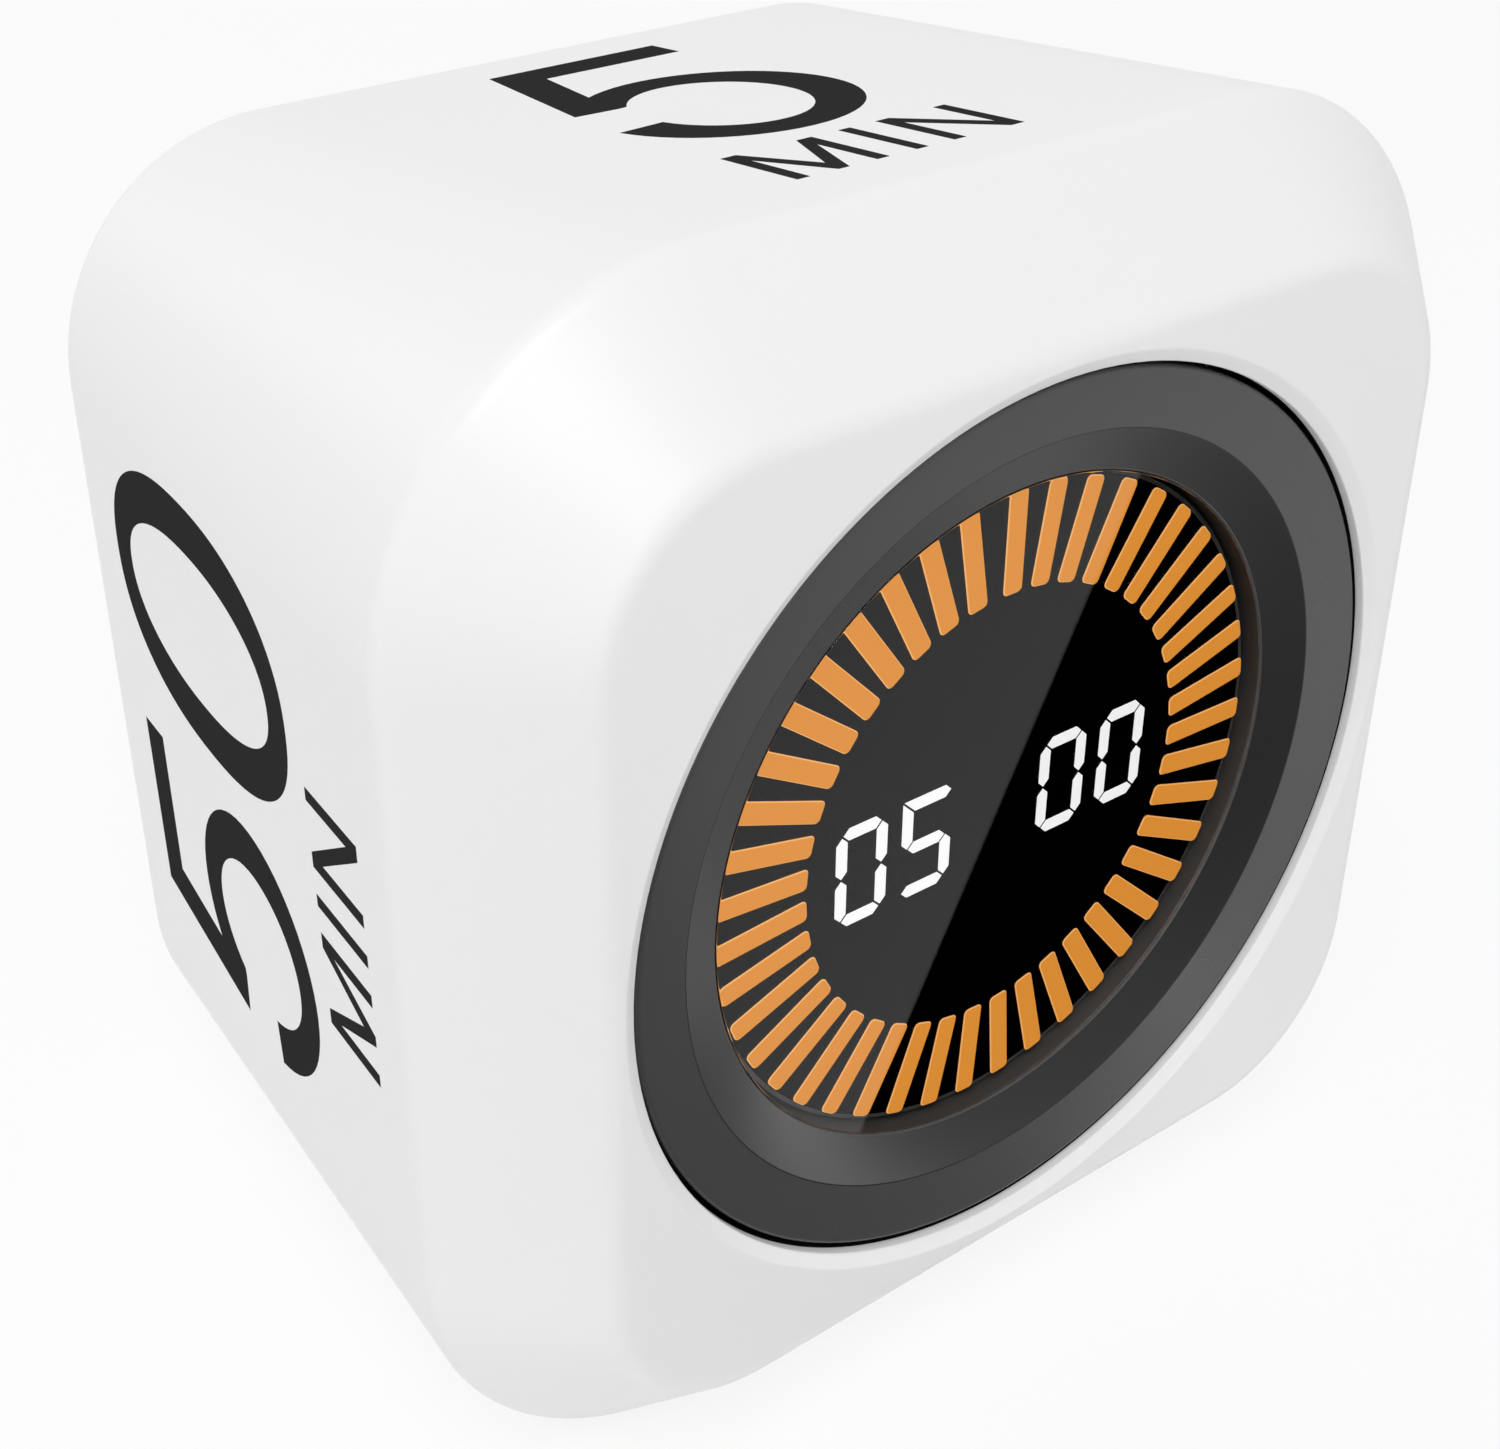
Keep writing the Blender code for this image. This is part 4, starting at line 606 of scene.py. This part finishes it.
# M, I and N: a stroke is the uprights' width, a shoulder the slants' at the top, a dip their fall or rise
def letterOutlines(places, top, bottom):
    (left, right), (first, last), (start, end) = places
    middle, stroke, shoulder, dip, foot = (left + right) / 2, 16.5, 20, 30, 7
    letterM = [(left, bottom), (left, top), (left + shoulder, top), (middle, bottom - dip),
               (right - shoulder, top), (right, top), (right, bottom), (right - stroke, bottom),
               (right - stroke, top + dip), (middle + foot, bottom), (middle - foot, bottom),
               (left + stroke, top + dip), (left + stroke, bottom)]
    letterI = [(first, bottom), (first, top), (last, top), (last, bottom)]
    shoulder, dip = 19, 28
    letterN = [(start, bottom), (start, top), (start + shoulder, top), (end - stroke, bottom - dip),
               (end - stroke, top), (end, top), (end, bottom), (end - shoulder, bottom),
               (start + stroke, top + dip), (start + stroke, bottom)]
    return [np.array(letter, float) for letter in (letterM, letterI, letterN)]


def moved(outlines, across, up):
    return [outline + np.array([across, up]) for outline in outlines]


# Each side's reading direction as (x, z), and its outlines
minuteFaces = {
    "minutesTop": ((1, 0), moved(fiveOutlines(), 140, -12) + letterOutlines(*glyphs["topWord"])),
    "minutesLeft": ((0, 1), fiveOutlines() + zeroOutlines() + letterOutlines(*glyphs["word"])),
    "minutesRight": ((0, -1), twoOutlines() + moved(fiveOutlines(), 370, 0)
                     + letterOutlines(*glyphs["word"])),
    "minutesBase": ((-1, 0), moved(oneOutlines(), 35, 0) + zeroOutlines(735.0)
                    + letterOutlines(*glyphs["word"])),
}


# Minutes laid on a side: along it by the reading direction, back by the depth, and out by the case's half
# width there plus a thin lift; the way out is the reading direction turned by a quarter
def makeMinutes(name, reads, outlines):
    unit, slope = glyphs["unit"], glyphs["unit"] * glyphs["shrink"]
    flat = [np.stack([(outline[:, 0] - glyphs["originAlong"]) * unit,
                      glyphs["depthAtOrigin"] + (glyphs["originUp"] - outline[:, 1]) * slope], axis=1)
            for outline in outlines]
    points, faces = plate(flat, 0.0, glyphs["thickness"])
    along, rise, depth = points.T
    out = halfAt(depth) + glyphs["lift"] - rise
    placed = np.stack([reads[0] * along - reads[1] * out, depth, reads[1] * along + reads[0] * out], axis=1)
    addPiece(makeMesh(name, placed, faces), "case", material=finish["print"])


for faceName, (faceReads, faceOutlines) in minuteFaces.items():
    makeMinutes(faceName, faceReads, faceOutlines)
print("minutes made")

# Dial
dialShape = {
    "profile": [(16.96, 2.9), (16.96, 2.15), (19.26, 1.2), (22.2, 0.6), (22.2, 4.7), (19.96, 4.7),
                (19.96, 8.9), (18.46, 8.9), (18.46, 3.6), (16.96, 3.6), (16.96, 2.9)],
    "radii": [0, 0.15, 0.06, 0.30, 0.1, 0, 0, 0, 0, 0, 0],
    "steps": 320,
    # Least and greatest radius and greatest depth: flat shading, the cone's painted shade, the wall's
    # painted light inside it
    "band": (19.2, 21.95, 1.5),
    "shadedCone": (17.05, 19.25, 2.2),
    "wall": (0.0, 17.0, 9.0),
    "window": [(0, 2.15), (16.93, 2.15), (16.93, 2.27), (0, 2.27)],
    "windowRadii": [0, 0.03, 0.03, 0],
}


# True for the points between two radii and in front of a depth
def within(points, zone):
    least, greatest, deepest = zone
    across, depth, up = points.T
    radius = np.hypot(across, up)
    return (radius > least) & (radius < greatest) & (depth < deepest)


# The band shades as a flat ring: faces that lie in it all the way get the front's normal
def flattenBand(mesh):
    normals = readField(mesh.corner_normals, "vector")
    corners = readField(mesh.loops, "vertex_index", 1)[:, 0].astype(int)
    sizes = readField(mesh.polygons, "loop_total", 1)[:, 0].astype(int)
    owner = np.repeat(np.arange(len(sizes)), sizes)
    inBand = within(local(readField(mesh.vertices, "co"))[corners], dialShape["band"])
    whole = np.bincount(owner, weights=inBand, minlength=len(sizes))[owner] == sizes[owner]
    mesh.normals_split_custom_set(np.where(whole[:, None], -axes[1], normals).tolist())


# The ring and the window pane are profiles turned about the dial's axis
def makeDial():
    profile = softProfile(dialShape["profile"], dialShape["radii"], steps=7, hold=0.05)[:-1]
    mesh = makeMesh("dialRing", *turned(profile, dialShape["steps"]), sharpDegrees=32.0)
    # The cone gets a darker copy of the ring's grey as painted shade, and the wall inside it a lighter copy
    # as painted light
    zones = [within(faceCentres(mesh), dialShape[name]) for name in ("shadedCone", "wall")]
    paint(mesh, (finish["dial"], finish["shadedCone"], finish["wall"]), np.select(zones, [1, 2], 0))
    flattenBand(mesh)
    addPiece(mesh, "dial", "dial_ring")
    profile = softProfile(dialShape["window"], dialShape["windowRadii"], steps=3, hold=0.05)
    mesh = makeMesh("windowPane", *turned(profile, dialShape["steps"], closed=False), sharpDegrees=60.0)
    addPiece(mesh, "dial", "display_window", finish["window"])


makeDial()
print("dial made")

# Display
display = {
    "radius": 16.66,
    "steps": 320,
    "barCount": 43,
    "barTurn": 0.995 * 2 * math.pi / 43,
    "barInner": 11.36,
    "barOuter": 16.46,
    "barWidth": 1.13,
    "barCorner": 0.27,
    "slotGap": 0.03,
    "lit": 2.965,  # front of bars and digits
    "darkStep": 0.03,  # from there to the front of dark segments
    "barEdge": 0.05,
    "mask": (3.27, 3.87),
    # A thin grey ring round the mask: painted highlight for the light line at the display's edge
    "rim": [(16.52, 3.25), (16.72, 3.25), (16.72, 3.5), (16.52, 3.5)],
    "guide": (4.17, 4.77),  # front and back of the discs behind the bars and digits
    "guideRadii": (10.76, 11.06),
    "guideSteps": 160,
    "root": 4.47,  # where bars and digits end, inside the discs
    "digitPlaces": [-8.255, -4.405, 4.089, 8.004],
    "digitRise": 0.059,
    "digitWidth": 2.987,
    "digitHeight": 5.326,
    "digitRoom": 0.3,  # of the mask's window, in width and height
    "windowCorner": 0.1,
    "stroke": 0.655,
    "segmentGap": 0.10,
    "freeTip": 0.11,  # from the digit's edge to a tip that meets no neighbour
    "segmentEdge": 0.02,
    "shown": "0500",
    "segments": {"0": {"top", "topRight", "topLeft", "bottom", "bottomRight", "bottomLeft"},
                 "5": {"top", "topLeft", "middle", "bottomRight", "bottom"}},
}


# Rectangles on a circle midway between the bars' inner and outer ends, one bar turn apart from the top
def barOutlines(grow=0.0):
    inner, outer = display["barInner"], display["barOuter"]
    size = (outer - inner + 2 * grow, display["barWidth"] + 2 * grow, display["barCorner"])
    turns = math.pi / 2 - np.arange(display["barCount"]) * display["barTurn"]
    return [roundedOutline(*size, place, turn)
            for place, turn in zip(circleAt((inner + outer) / 2, turns), turns)]


# A strip with 45 degree points at its start and end
def strip(start, end, middle, half):
    slope = math.copysign(half, end - start)
    return [(start, middle), (start + slope, middle + half), (end - slope, middle + half), (end, middle),
            (end - slope, middle - half), (start + slope, middle - half)]


# The seven areas of a digit: strips whose points meet at the corners and at half height. The five's free
# ends reach further out, and its upper left corner is a plain mitre
def segmentOutlines(x, isFive):
    width, height = display["digitWidth"] / 2, display["digitHeight"] / 2
    half, gap = display["stroke"] / 2, display["segmentGap"] / 2
    slant = gap * math.sqrt(2)
    reach, head = width - half - slant, height - half - slant
    free = width - display["freeTip"] if isFive else reach
    areas = {"middle": strip(-reach, reach, 0.0, half), "top": strip(-reach, free, height - half, half),
             "bottom": strip(-free, reach, half - height, half)}
    for name, side, up in (("topRight", 1, 1), ("topLeft", -1, 1), ("bottomRight", 1, -1),
                           ("bottomLeft", -1, -1)):
        column = strip(up * gap, up * head, side * (width - half), half)
        areas[name] = [(across, along) for along, across in column]
    if isFive:
        areas["top"][:2] = [(slant - width, height)]
        areas["topLeft"][3:5] = [(-width, height - slant)]
    centre = np.array([x, display["digitRise"]])
    return {name: np.array(area) + centre for name, area in areas.items()}


# The mask has slots for the grown bars and a window round each digit, and the guides rise through them
def makeDisplay():
    room = display["digitRoom"]
    windows = [roundedOutline(display["digitWidth"] + room, display["digitHeight"] + room,
                              display["windowCorner"], (x, display["digitRise"]))
               for x in display["digitPlaces"]]
    disc = circleAt(display["radius"], evenTurns(display["steps"]))
    mask = plate([disc] + barOutlines(display["slotGap"]) + windows, *display["mask"])
    rim = turned(display["rim"], display["steps"])
    mesh = makeMesh("maskPlate", *joined([mask, rim]))
    # The rim ring gets the grey: a painted highlight
    paint(mesh, (finish["mask"], finish["rim"]),
          np.arange(len(mesh.polygons)) >= len(mesh.polygons) - len(rim[1]))
    addPiece(mesh, "case", "segment_mask")

    lit, root, edge = display["lit"], display["root"], display["segmentEdge"]
    (front, back), steps = display["guide"], display["guideSteps"]
    inner, outer = display["guideRadii"]
    ring = turned([(outer, front), (display["radius"], front), (display["radius"], back),
                   (outer, back)], steps)
    mesh = makeMesh("barLights", *joined([prisms(barOutlines(), lit, root, display["barEdge"]), ring]))
    # The bars' bevels get the brighter amber: a painted glint
    litFromFront(mesh, finish["bars"], finish["barEdgeGlints"], finish["smoked"], display["mask"][0])
    addPiece(mesh, "case", "bar_light_guide")

    shown, dark = [], []
    for x, digit in zip(display["digitPlaces"], display["shown"]):
        for name, area in segmentOutlines(x, digit == "5").items():
            (shown if name in display["segments"][digit] else dark).append(area)
    mesh = makeMesh("digitLights", *prisms(shown, lit, root, edge))
    litFromFront(mesh, finish["digits"], finish["digits"], finish["smoked"])
    addPiece(mesh, "case")
    disc = turned([(0, front), (inner, front), (inner, back), (0, back)], steps, closed=False)
    parts = joined([prisms(dark, lit + display["darkStep"], root, edge), disc])
    addPiece(makeMesh("digitGuide", *parts), "case", "digit_light_guide", finish["smoked"])


makeDisplay()
print("display made")

# Rear: the cover with its recesses and posts, four screws, the slider, the button and the socket.
# Where an edge has two numbers, they are its size and its steps
rearShape = {
    "half": 24.4, "corner": 8.8, "rimSteps": (4, 24), "front": 38.3, "back": 40.3, "edge": 0.2,
    "overlap": 0.02,  # of the cover's layers
    "screws": {"place": 19.5, "recess": 1.9, "hole": 1.1, "holeSteps": 48, "floor": 38.8, "head": 1.6,
               "lip": 0.08, "well": 0.3, "rise": (0.3, 0.42), "top": 40.28, "shank": 0.8, "seat": 38.85,
               "tip": 33.1, "steps": 64, "cross": (1.9, 0.42), "crossDepth": 0.6, "edge": 0.14,
               "bond": 0.15},
    "slider": {"place": (10.98, 9.028), "trough": (9.2, 3.8, 0.45), "floor": 39.1, "slot": (6.6, 2.2, 0.1),
               "cap": (4.4, 3.0), "capCorner": 0.4, "capEdge": 0.12, "capFront": 39.4, "capBack": 40.2,
               "stem": (2.0, 1.6, 0.1), "stemFront": 34.7, "stemBack": 39.6, "grooves": 4,
               "groove": (0.3, 0.2), "landCorner": 0.1, "landEdge": (0.06, 2), "bond": 0.25},
    "button": {"place": (11.956, -6.1), "hole": 3.5, "holeSteps": 72, "steps": 96,
               "profile": [(0, 39.9), (1.9, 39.98), (2.75, 40.1), (3.2, 40.1), (3.2, 38.0), (4.1, 38.0),
                           (4.1, 37.2), (1.2, 37.2), (1.2, 35.2), (0, 35.2)],
               "radii": [0, 1.5, 0.6, 0.18, 0, 0.1, 0.1, 0, 0.1, 0]},
    "port": {"place": (0.0, -12.932), "size": (9.0, 3.2), "gap": 0.3, "wall": 0.3, "edge": (0.08, 2),
             "shell": (30.9, 39.8), "block": (31.0, 33.9), "blockGrow": 0.1, "tongueSize": (6.7, 0.7, 0.12),
             "tongue": (33.4, 38.8), "contactSize": (0.26, 0.05, 0.01), "contact": (34.1, 38.1),
             "contacts": 12, "pitch": 0.5},
    "sound": {"place": (-9.516, 8.052), "pitch": 2.6, "radius": 0.7, "steps": 36},
    "posts": {"place": 20.0, "steps": 40,
              "profile": [(0, 34.3), (1.1, 34.3), (1.1, 30.9), (2.2, 30.9), (2.2, 38.6), (0, 38.6)]},
}


# A stadium's outline: a rectangle whose corners are as round as its height allows, less a thin flat
def stadium(width, height, place, flat=0.002):
    return roundedOutline(width, height, (height - flat) / 2, place, steps=16)


# The cover is three layers: narrow screw holes in front, wide ones behind, the trough in the last
def makeRearCover():
    screws, slider, button, port, sound, posts = (
        rearShape[name] for name in ("screws", "slider", "button", "port", "sound", "posts"))
    rim = squareRing(rearShape["half"], rearShape["corner"], *rearShape["rimSteps"])
    small, wide = ([circleAt(screws[name], evenTurns(screws["holeSteps"])) + way * screws["place"]
                    for way in cornerWays] for name in ("hole", "recess"))
    shared = [circleAt(button["hole"], evenTurns(button["holeSteps"])) + np.array(button["place"]),
              stadium(*(size + 2 * port["gap"] for size in port["size"]), port["place"])]
    shared += [circleAt(sound["radius"], evenTurns(sound["steps"])) + np.array(sound["place"])
               + sound["pitch"] * np.array([column, row]) for column in (-1, 0, 1) for row in (-1, 0, 1)]
    slot = roundedOutline(*slider["slot"], slider["place"])
    trough = roundedOutline(*slider["trough"], slider["place"], steps=8)
    front, back, edge, overlap = (rearShape[name] for name in ("front", "back", "edge", "overlap"))
    first, second = screws["floor"], slider["floor"]
    parts = [plate([rim, slot] + small + shared, front, first),
             plate([rim, slot] + wide + shared, first - overlap, second),
             plate([rim, trough] + wide + shared, second - edge - overlap, back, edge)]
    parts += [turned(posts["profile"], posts["steps"], way * posts["place"], False) for way in sideWays]
    mesh = makeMesh("rearCover", *joined(parts), sharpDegrees=40.0)
    addPiece(mesh, "case", "rear_cover", finish["case"])


# A screw: a round shank under a head whose upper layer is a plate with a cross cut through it
def makeRearScrew(number, way):
    screws = rearShape["screws"]
    place = way * screws["place"]
    length, width = np.array(screws["cross"]) / 2
    cross = np.array([(length, width), (width, width), (width, length)])
    cross = np.vstack([cross, (cross * [-1, 1])[::-1], -cross, (cross * [1, -1])[::-1]])
    top, head, shank, seat = (screws[name] for name in ("top", "head", "shank", "seat"))
    deep, inner, (low, lower) = top - screws["crossDepth"], head - screws["lip"], screws["rise"]
    cap = plate([circleAt(inner, evenTurns(screws["steps"])) + place, cross + place], deep - screws["bond"],
                top, screws["edge"])
    body = turned([(0, deep), (head - screws["well"], deep), (inner, top - low), (head, top - lower),
                   (head, seat), (shank, seat), (shank, screws["tip"] + shank), (0, screws["tip"])],
                  screws["steps"], place, False)
    mesh = makeMesh(f"rearScrew{number}", *joined([cap, body]))
    addPiece(mesh, "case", f"rear_screw_{number}", finish["steel"])


# The slider's cap carries raised lands, with the grooves left between them
def makeSlider():
    slider = rearShape["slider"]
    place = np.array(slider["place"])
    (width, height), (grooveWidth, grooveDepth), edge = slider["cap"], slider["groove"], slider["capEdge"]
    base = slider["capBack"] - grooveDepth
    cap = roundedOutline(width, height, slider["capCorner"], place, steps=8)
    parts = [plate([cap], slider["capFront"], base, edge)]
    middles = (np.arange(slider["grooves"]) + 1) * width / (slider["grooves"] + 1) - width / 2
    sides = np.stack([middles - grooveWidth / 2, middles + grooveWidth / 2], axis=1).ravel()
    sides = np.concatenate([[edge - width / 2], sides, [width / 2 - edge]])
    for left, right in sides.reshape(-1, 2):
        land = roundedOutline(right - left, height - 2 * edge, slider["landCorner"],
                              place + [(left + right) / 2, 0.0])
        parts.append(plate([land], base - slider["bond"], slider["capBack"], *slider["landEdge"]))
    parts.append(plate([roundedOutline(*slider["stem"], place)], slider["stemFront"], slider["stemBack"]))
    mesh = makeMesh("modeSlider", *joined(parts))
    addPiece(mesh, "slider", "mode_slider", finish["rearGrey"])


# A softened profile turned about the button's axis
def makeButton():
    button = rearShape["button"]
    profile = softProfile(button["profile"], button["radii"], steps=5, hold=0.04)
    mesh = makeMesh("setButton", *turned(profile, button["steps"], button["place"], False))
    addPiece(mesh, "button", "set_button", finish["rearGrey"])


# The socket: a bright shell round a black block with a tongue that carries its contacts on both sides
def makePort():
    port = rearShape["port"]
    place = port["place"]
    inside = [size - 2 * port["wall"] for size in port["size"]]
    parts = [plate([stadium(*port["size"], place), stadium(*inside, place)], *port["shell"], *port["edge"]),
             plate([stadium(*(size + port["blockGrow"] for size in inside), place)], *port["block"]),
             plate([roundedOutline(*port["tongueSize"], place)], *port["tongue"], *port["edge"])]
    for up in (1, -1):
        for number in range(port["contacts"]):
            spot = (place[0] + (number - (port["contacts"] - 1) / 2) * port["pitch"],
                    place[1] + up * port["tongueSize"][1] / 2)
            parts.append(plate([roundedOutline(*port["contactSize"], spot)], *port["contact"]))
    mesh = makeMesh("usbPort", *joined(parts))
    owners = [0, 1, 1] + [2] * (len(parts) - 3)
    paint(mesh, (finish["steel"], finish["nylon"], finish["brass"]),
          np.repeat(owners, [len(part[1]) for part in parts]))
    addPiece(mesh, "case", "usb_port")


makeRearCover()
for screwNumber, screwWay in enumerate(cornerWays, 1):
    makeRearScrew(screwNumber, screwWay)
makeSlider()
makeButton()
makePort()
print("rear made")

# What the window mirrors: a card in two tones just in front of it, seen by nothing else
cardShape = {
    "depths": (2.1, 2.09),  # of the left and the right part
    "overlap": 0.2,
    "radius": 16.95,
    "steps": 720,
    "split": [(6.805, 15.379), (-7.852, -14.073)],
    "light": 0.32,
}


# A material that only glows
def glowMaterial(name, strength):
    material, nodes, links = newMaterial(name)
    glow = nodes.new("ShaderNodeEmission")
    setInputs(glow, {"Color": (1, 1, 1, 1), "Strength": strength})
    links.new(glow.outputs["Emission"], nodes["Material Output"].inputs["Surface"])
    return material


# One face with a glow that only reflections show
def stageCard(name, points, light, throughGlass):
    mesh = bpy.data.meshes.new(name)
    mesh.from_pydata(np.asarray(points).tolist(), [], [list(range(len(points)))])
    mesh.materials.append(glowMaterial(name, light))
    card = newObject(name, mesh)
    card.visible_camera = card.visible_diffuse = card.visible_shadow = False
    card.visible_volume_scatter = False
    card.visible_transmission = throughGlass
    return mesh.materials[0]


# A disc cut along the split line into a glowing left part and a black right part, which laps over the
# line on the side away from the window
def makeCards():
    first, last = np.array(cardShape["split"])
    along = (last - first) / np.linalg.norm(last - first)
    rim = circleAt(cardShape["radius"], evenTurns(cardShape["steps"]))
    distance = (rim - first) @ np.array([along[1], -along[0]])
    keeps = (distance > 0, distance <= cardShape["overlap"])
    for name, keep, light, depth in zip(("cardLeft", "cardRight"), keeps, (cardShape["light"], 0.0),
                                        cardShape["depths"]):
        start = int(np.argmax(keep & ~np.roll(keep, 1)))
        outline = np.roll(rim, -start, axis=0)[:int(keep.sum())]
        stageCard(name, stood(laid(outline, depth)), light, True)


makeCards()


# Studio: a pale floor, soft lamps and a white surround
studio = {
    "surround": 0.56,
    "floorSize": 12.0,
    "floorTone": 0.90,
    "floorGlow": 0.82,
    "lamps": {  # place, size and power
        "upperLeft": ((-0.220, -0.200, 0.572), 0.40, 1.62),
        "backLeft": ((-0.28, 0.49, 0.30), 0.30, 0.30),
        "front": ((-0.24, -0.49, 0.31), 0.16, 0.22),
    },
    "target": (0.0, 0.0, 0.03),
    "flag": {"foot": (0.0, -0.024), "from": -75.0, "to": 70.0, "steps": 24, "reach": 0.4, "height": 0.0006,
             "ramp": {"From Min": -0.004, "From Max": 0.070, "To Min": 0.15, "To Max": 0.85}},
    "bounce": {"foot": [(0.019, -0.0525), (0.028, -0.039)], "heights": (0.001, 0.007), "light": 4.2},
    "camera": {"place": (-0.0640156, -0.07451154, 0.09587208),
               "turn": (0.939939, -0.06249652, -0.65864909), "lens": 55.6128, "sensor": 36.0,
               "clip": (0.001, 10.0)},
}


# 1 for the rays that show a surface to the eye: straight, mirrored or through glass
def seenRays(nodes, links):
    path = nodes.new("ShaderNodeLightPath")
    result = path.outputs["Is Camera Ray"]
    for name in ("Is Glossy Ray", "Is Transmission Ray"):
        either = nodes.new("ShaderNodeMath")
        either.operation = "MAXIMUM"
        links.new(result, either.inputs[0])
        links.new(path.outputs[name], either.inputs[1])
        result = either.outputs[0]
    return result


# The floor scatters lamp light, and the rays that show it to the eye get an even glow in part
def makeFloor():
    bpy.ops.mesh.primitive_plane_add(size=studio["floorSize"], location=(0, 0, 0))
    floor = bpy.context.object
    floor.name = "floor"
    material, nodes, links = newMaterial("paleFloor")
    nodes.remove(nodes["Principled BSDF"])
    matt, glow, share = newNodes(nodes, "BsdfDiffuse", "Emission", "Math")
    setInputs(matt, {"Color": (studio["floorTone"],) * 3 + (1,)})
    setInputs(glow, {"Color": (1, 1, 1, 1)})
    share.operation = "MULTIPLY"
    share.inputs[1].default_value = studio["floorGlow"]
    links.new(seenRays(nodes, links), share.inputs[0])
    mixSurfaces(nodes, links, share.outputs[0], matt.outputs["BSDF"], glow.outputs["Emission"])
    floor.data.materials.append(material)


# A sheet on the floor in front, dark to the left and pale to the right, seen only in the dial's gloss,
# and a small bright card low in front, whose gleam lies on the lower left of the dial's cone
def makeGlossCards():
    flag = studio["flag"]
    turns = np.radians(np.linspace(flag["from"], flag["to"], flag["steps"]))
    rim = np.array(flag["foot"]) + flag["reach"] * np.stack([np.sin(turns), -np.cos(turns)], axis=1)
    outline = np.vstack([[flag["foot"]], rim])
    points = np.column_stack([outline, np.full(len(outline), flag["height"])])
    tree = stageCard("flag", points, 0.0, False).node_tree
    place, apart, ramp = newNodes(tree.nodes, "TexCoord", "SeparateXYZ", "MapRange")
    setInputs(ramp, flag["ramp"])
    tree.links.new(place.outputs["Object"], apart.inputs["Vector"])
    tree.links.new(apart.outputs["X"], ramp.inputs["Value"])
    tree.links.new(ramp.outputs["Result"], tree.nodes["Emission"].inputs["Strength"])

    bounce = studio["bounce"]
    low, high = ([(*spot, height) for spot in bounce["foot"]] for height in bounce["heights"])
    stageCard("bounce", low + high[::-1], bounce["light"], False)


# To look along (x, y, z) a lamp tips by the arc cosine of -z / length and turns by the arc tangent of -x / y
def makeStudio():
    world = bpy.data.worlds.new("surround")
    scene.world = world
    world.use_nodes = True
    nodes, links = world.node_tree.nodes, world.node_tree.links
    background, strength = nodes["Background"], nodes.new("ShaderNodeMapRange")
    setInputs(background, {"Color": (1, 1, 1, 1)})
    setInputs(strength, {"To Min": studio["surround"], "To Max": 1.0})
    links.new(seenRays(nodes, links), strength.inputs["Value"])
    links.new(strength.outputs["Result"], background.inputs["Strength"])

    for name, (place, size, power) in studio["lamps"].items():
        data = bpy.data.lights.new(name, "AREA")
        data.shape = "DISK"
        data.size = size
        data.energy = power
        lamp = newObject(name, data)
        lamp.location = place
        x, y, z = np.array(studio["target"]) - place
        lamp.rotation_euler = (math.acos(-z / math.hypot(x, y, z)), 0.0, math.atan2(-x, y))

    settings = studio["camera"]
    data = bpy.data.cameras.new("camera")
    data.lens = settings["lens"]
    data.sensor_fit = "HORIZONTAL"
    data.sensor_width = settings["sensor"]
    data.clip_start, data.clip_end = settings["clip"]
    camera = newObject("camera", data)
    camera.location = settings["place"]
    camera.rotation_euler = settings["turn"]
    scene.camera = camera
    scene.view_settings.view_transform = "Standard"


makeFloor()
makeGlossCards()
makeStudio()
print("studio made")
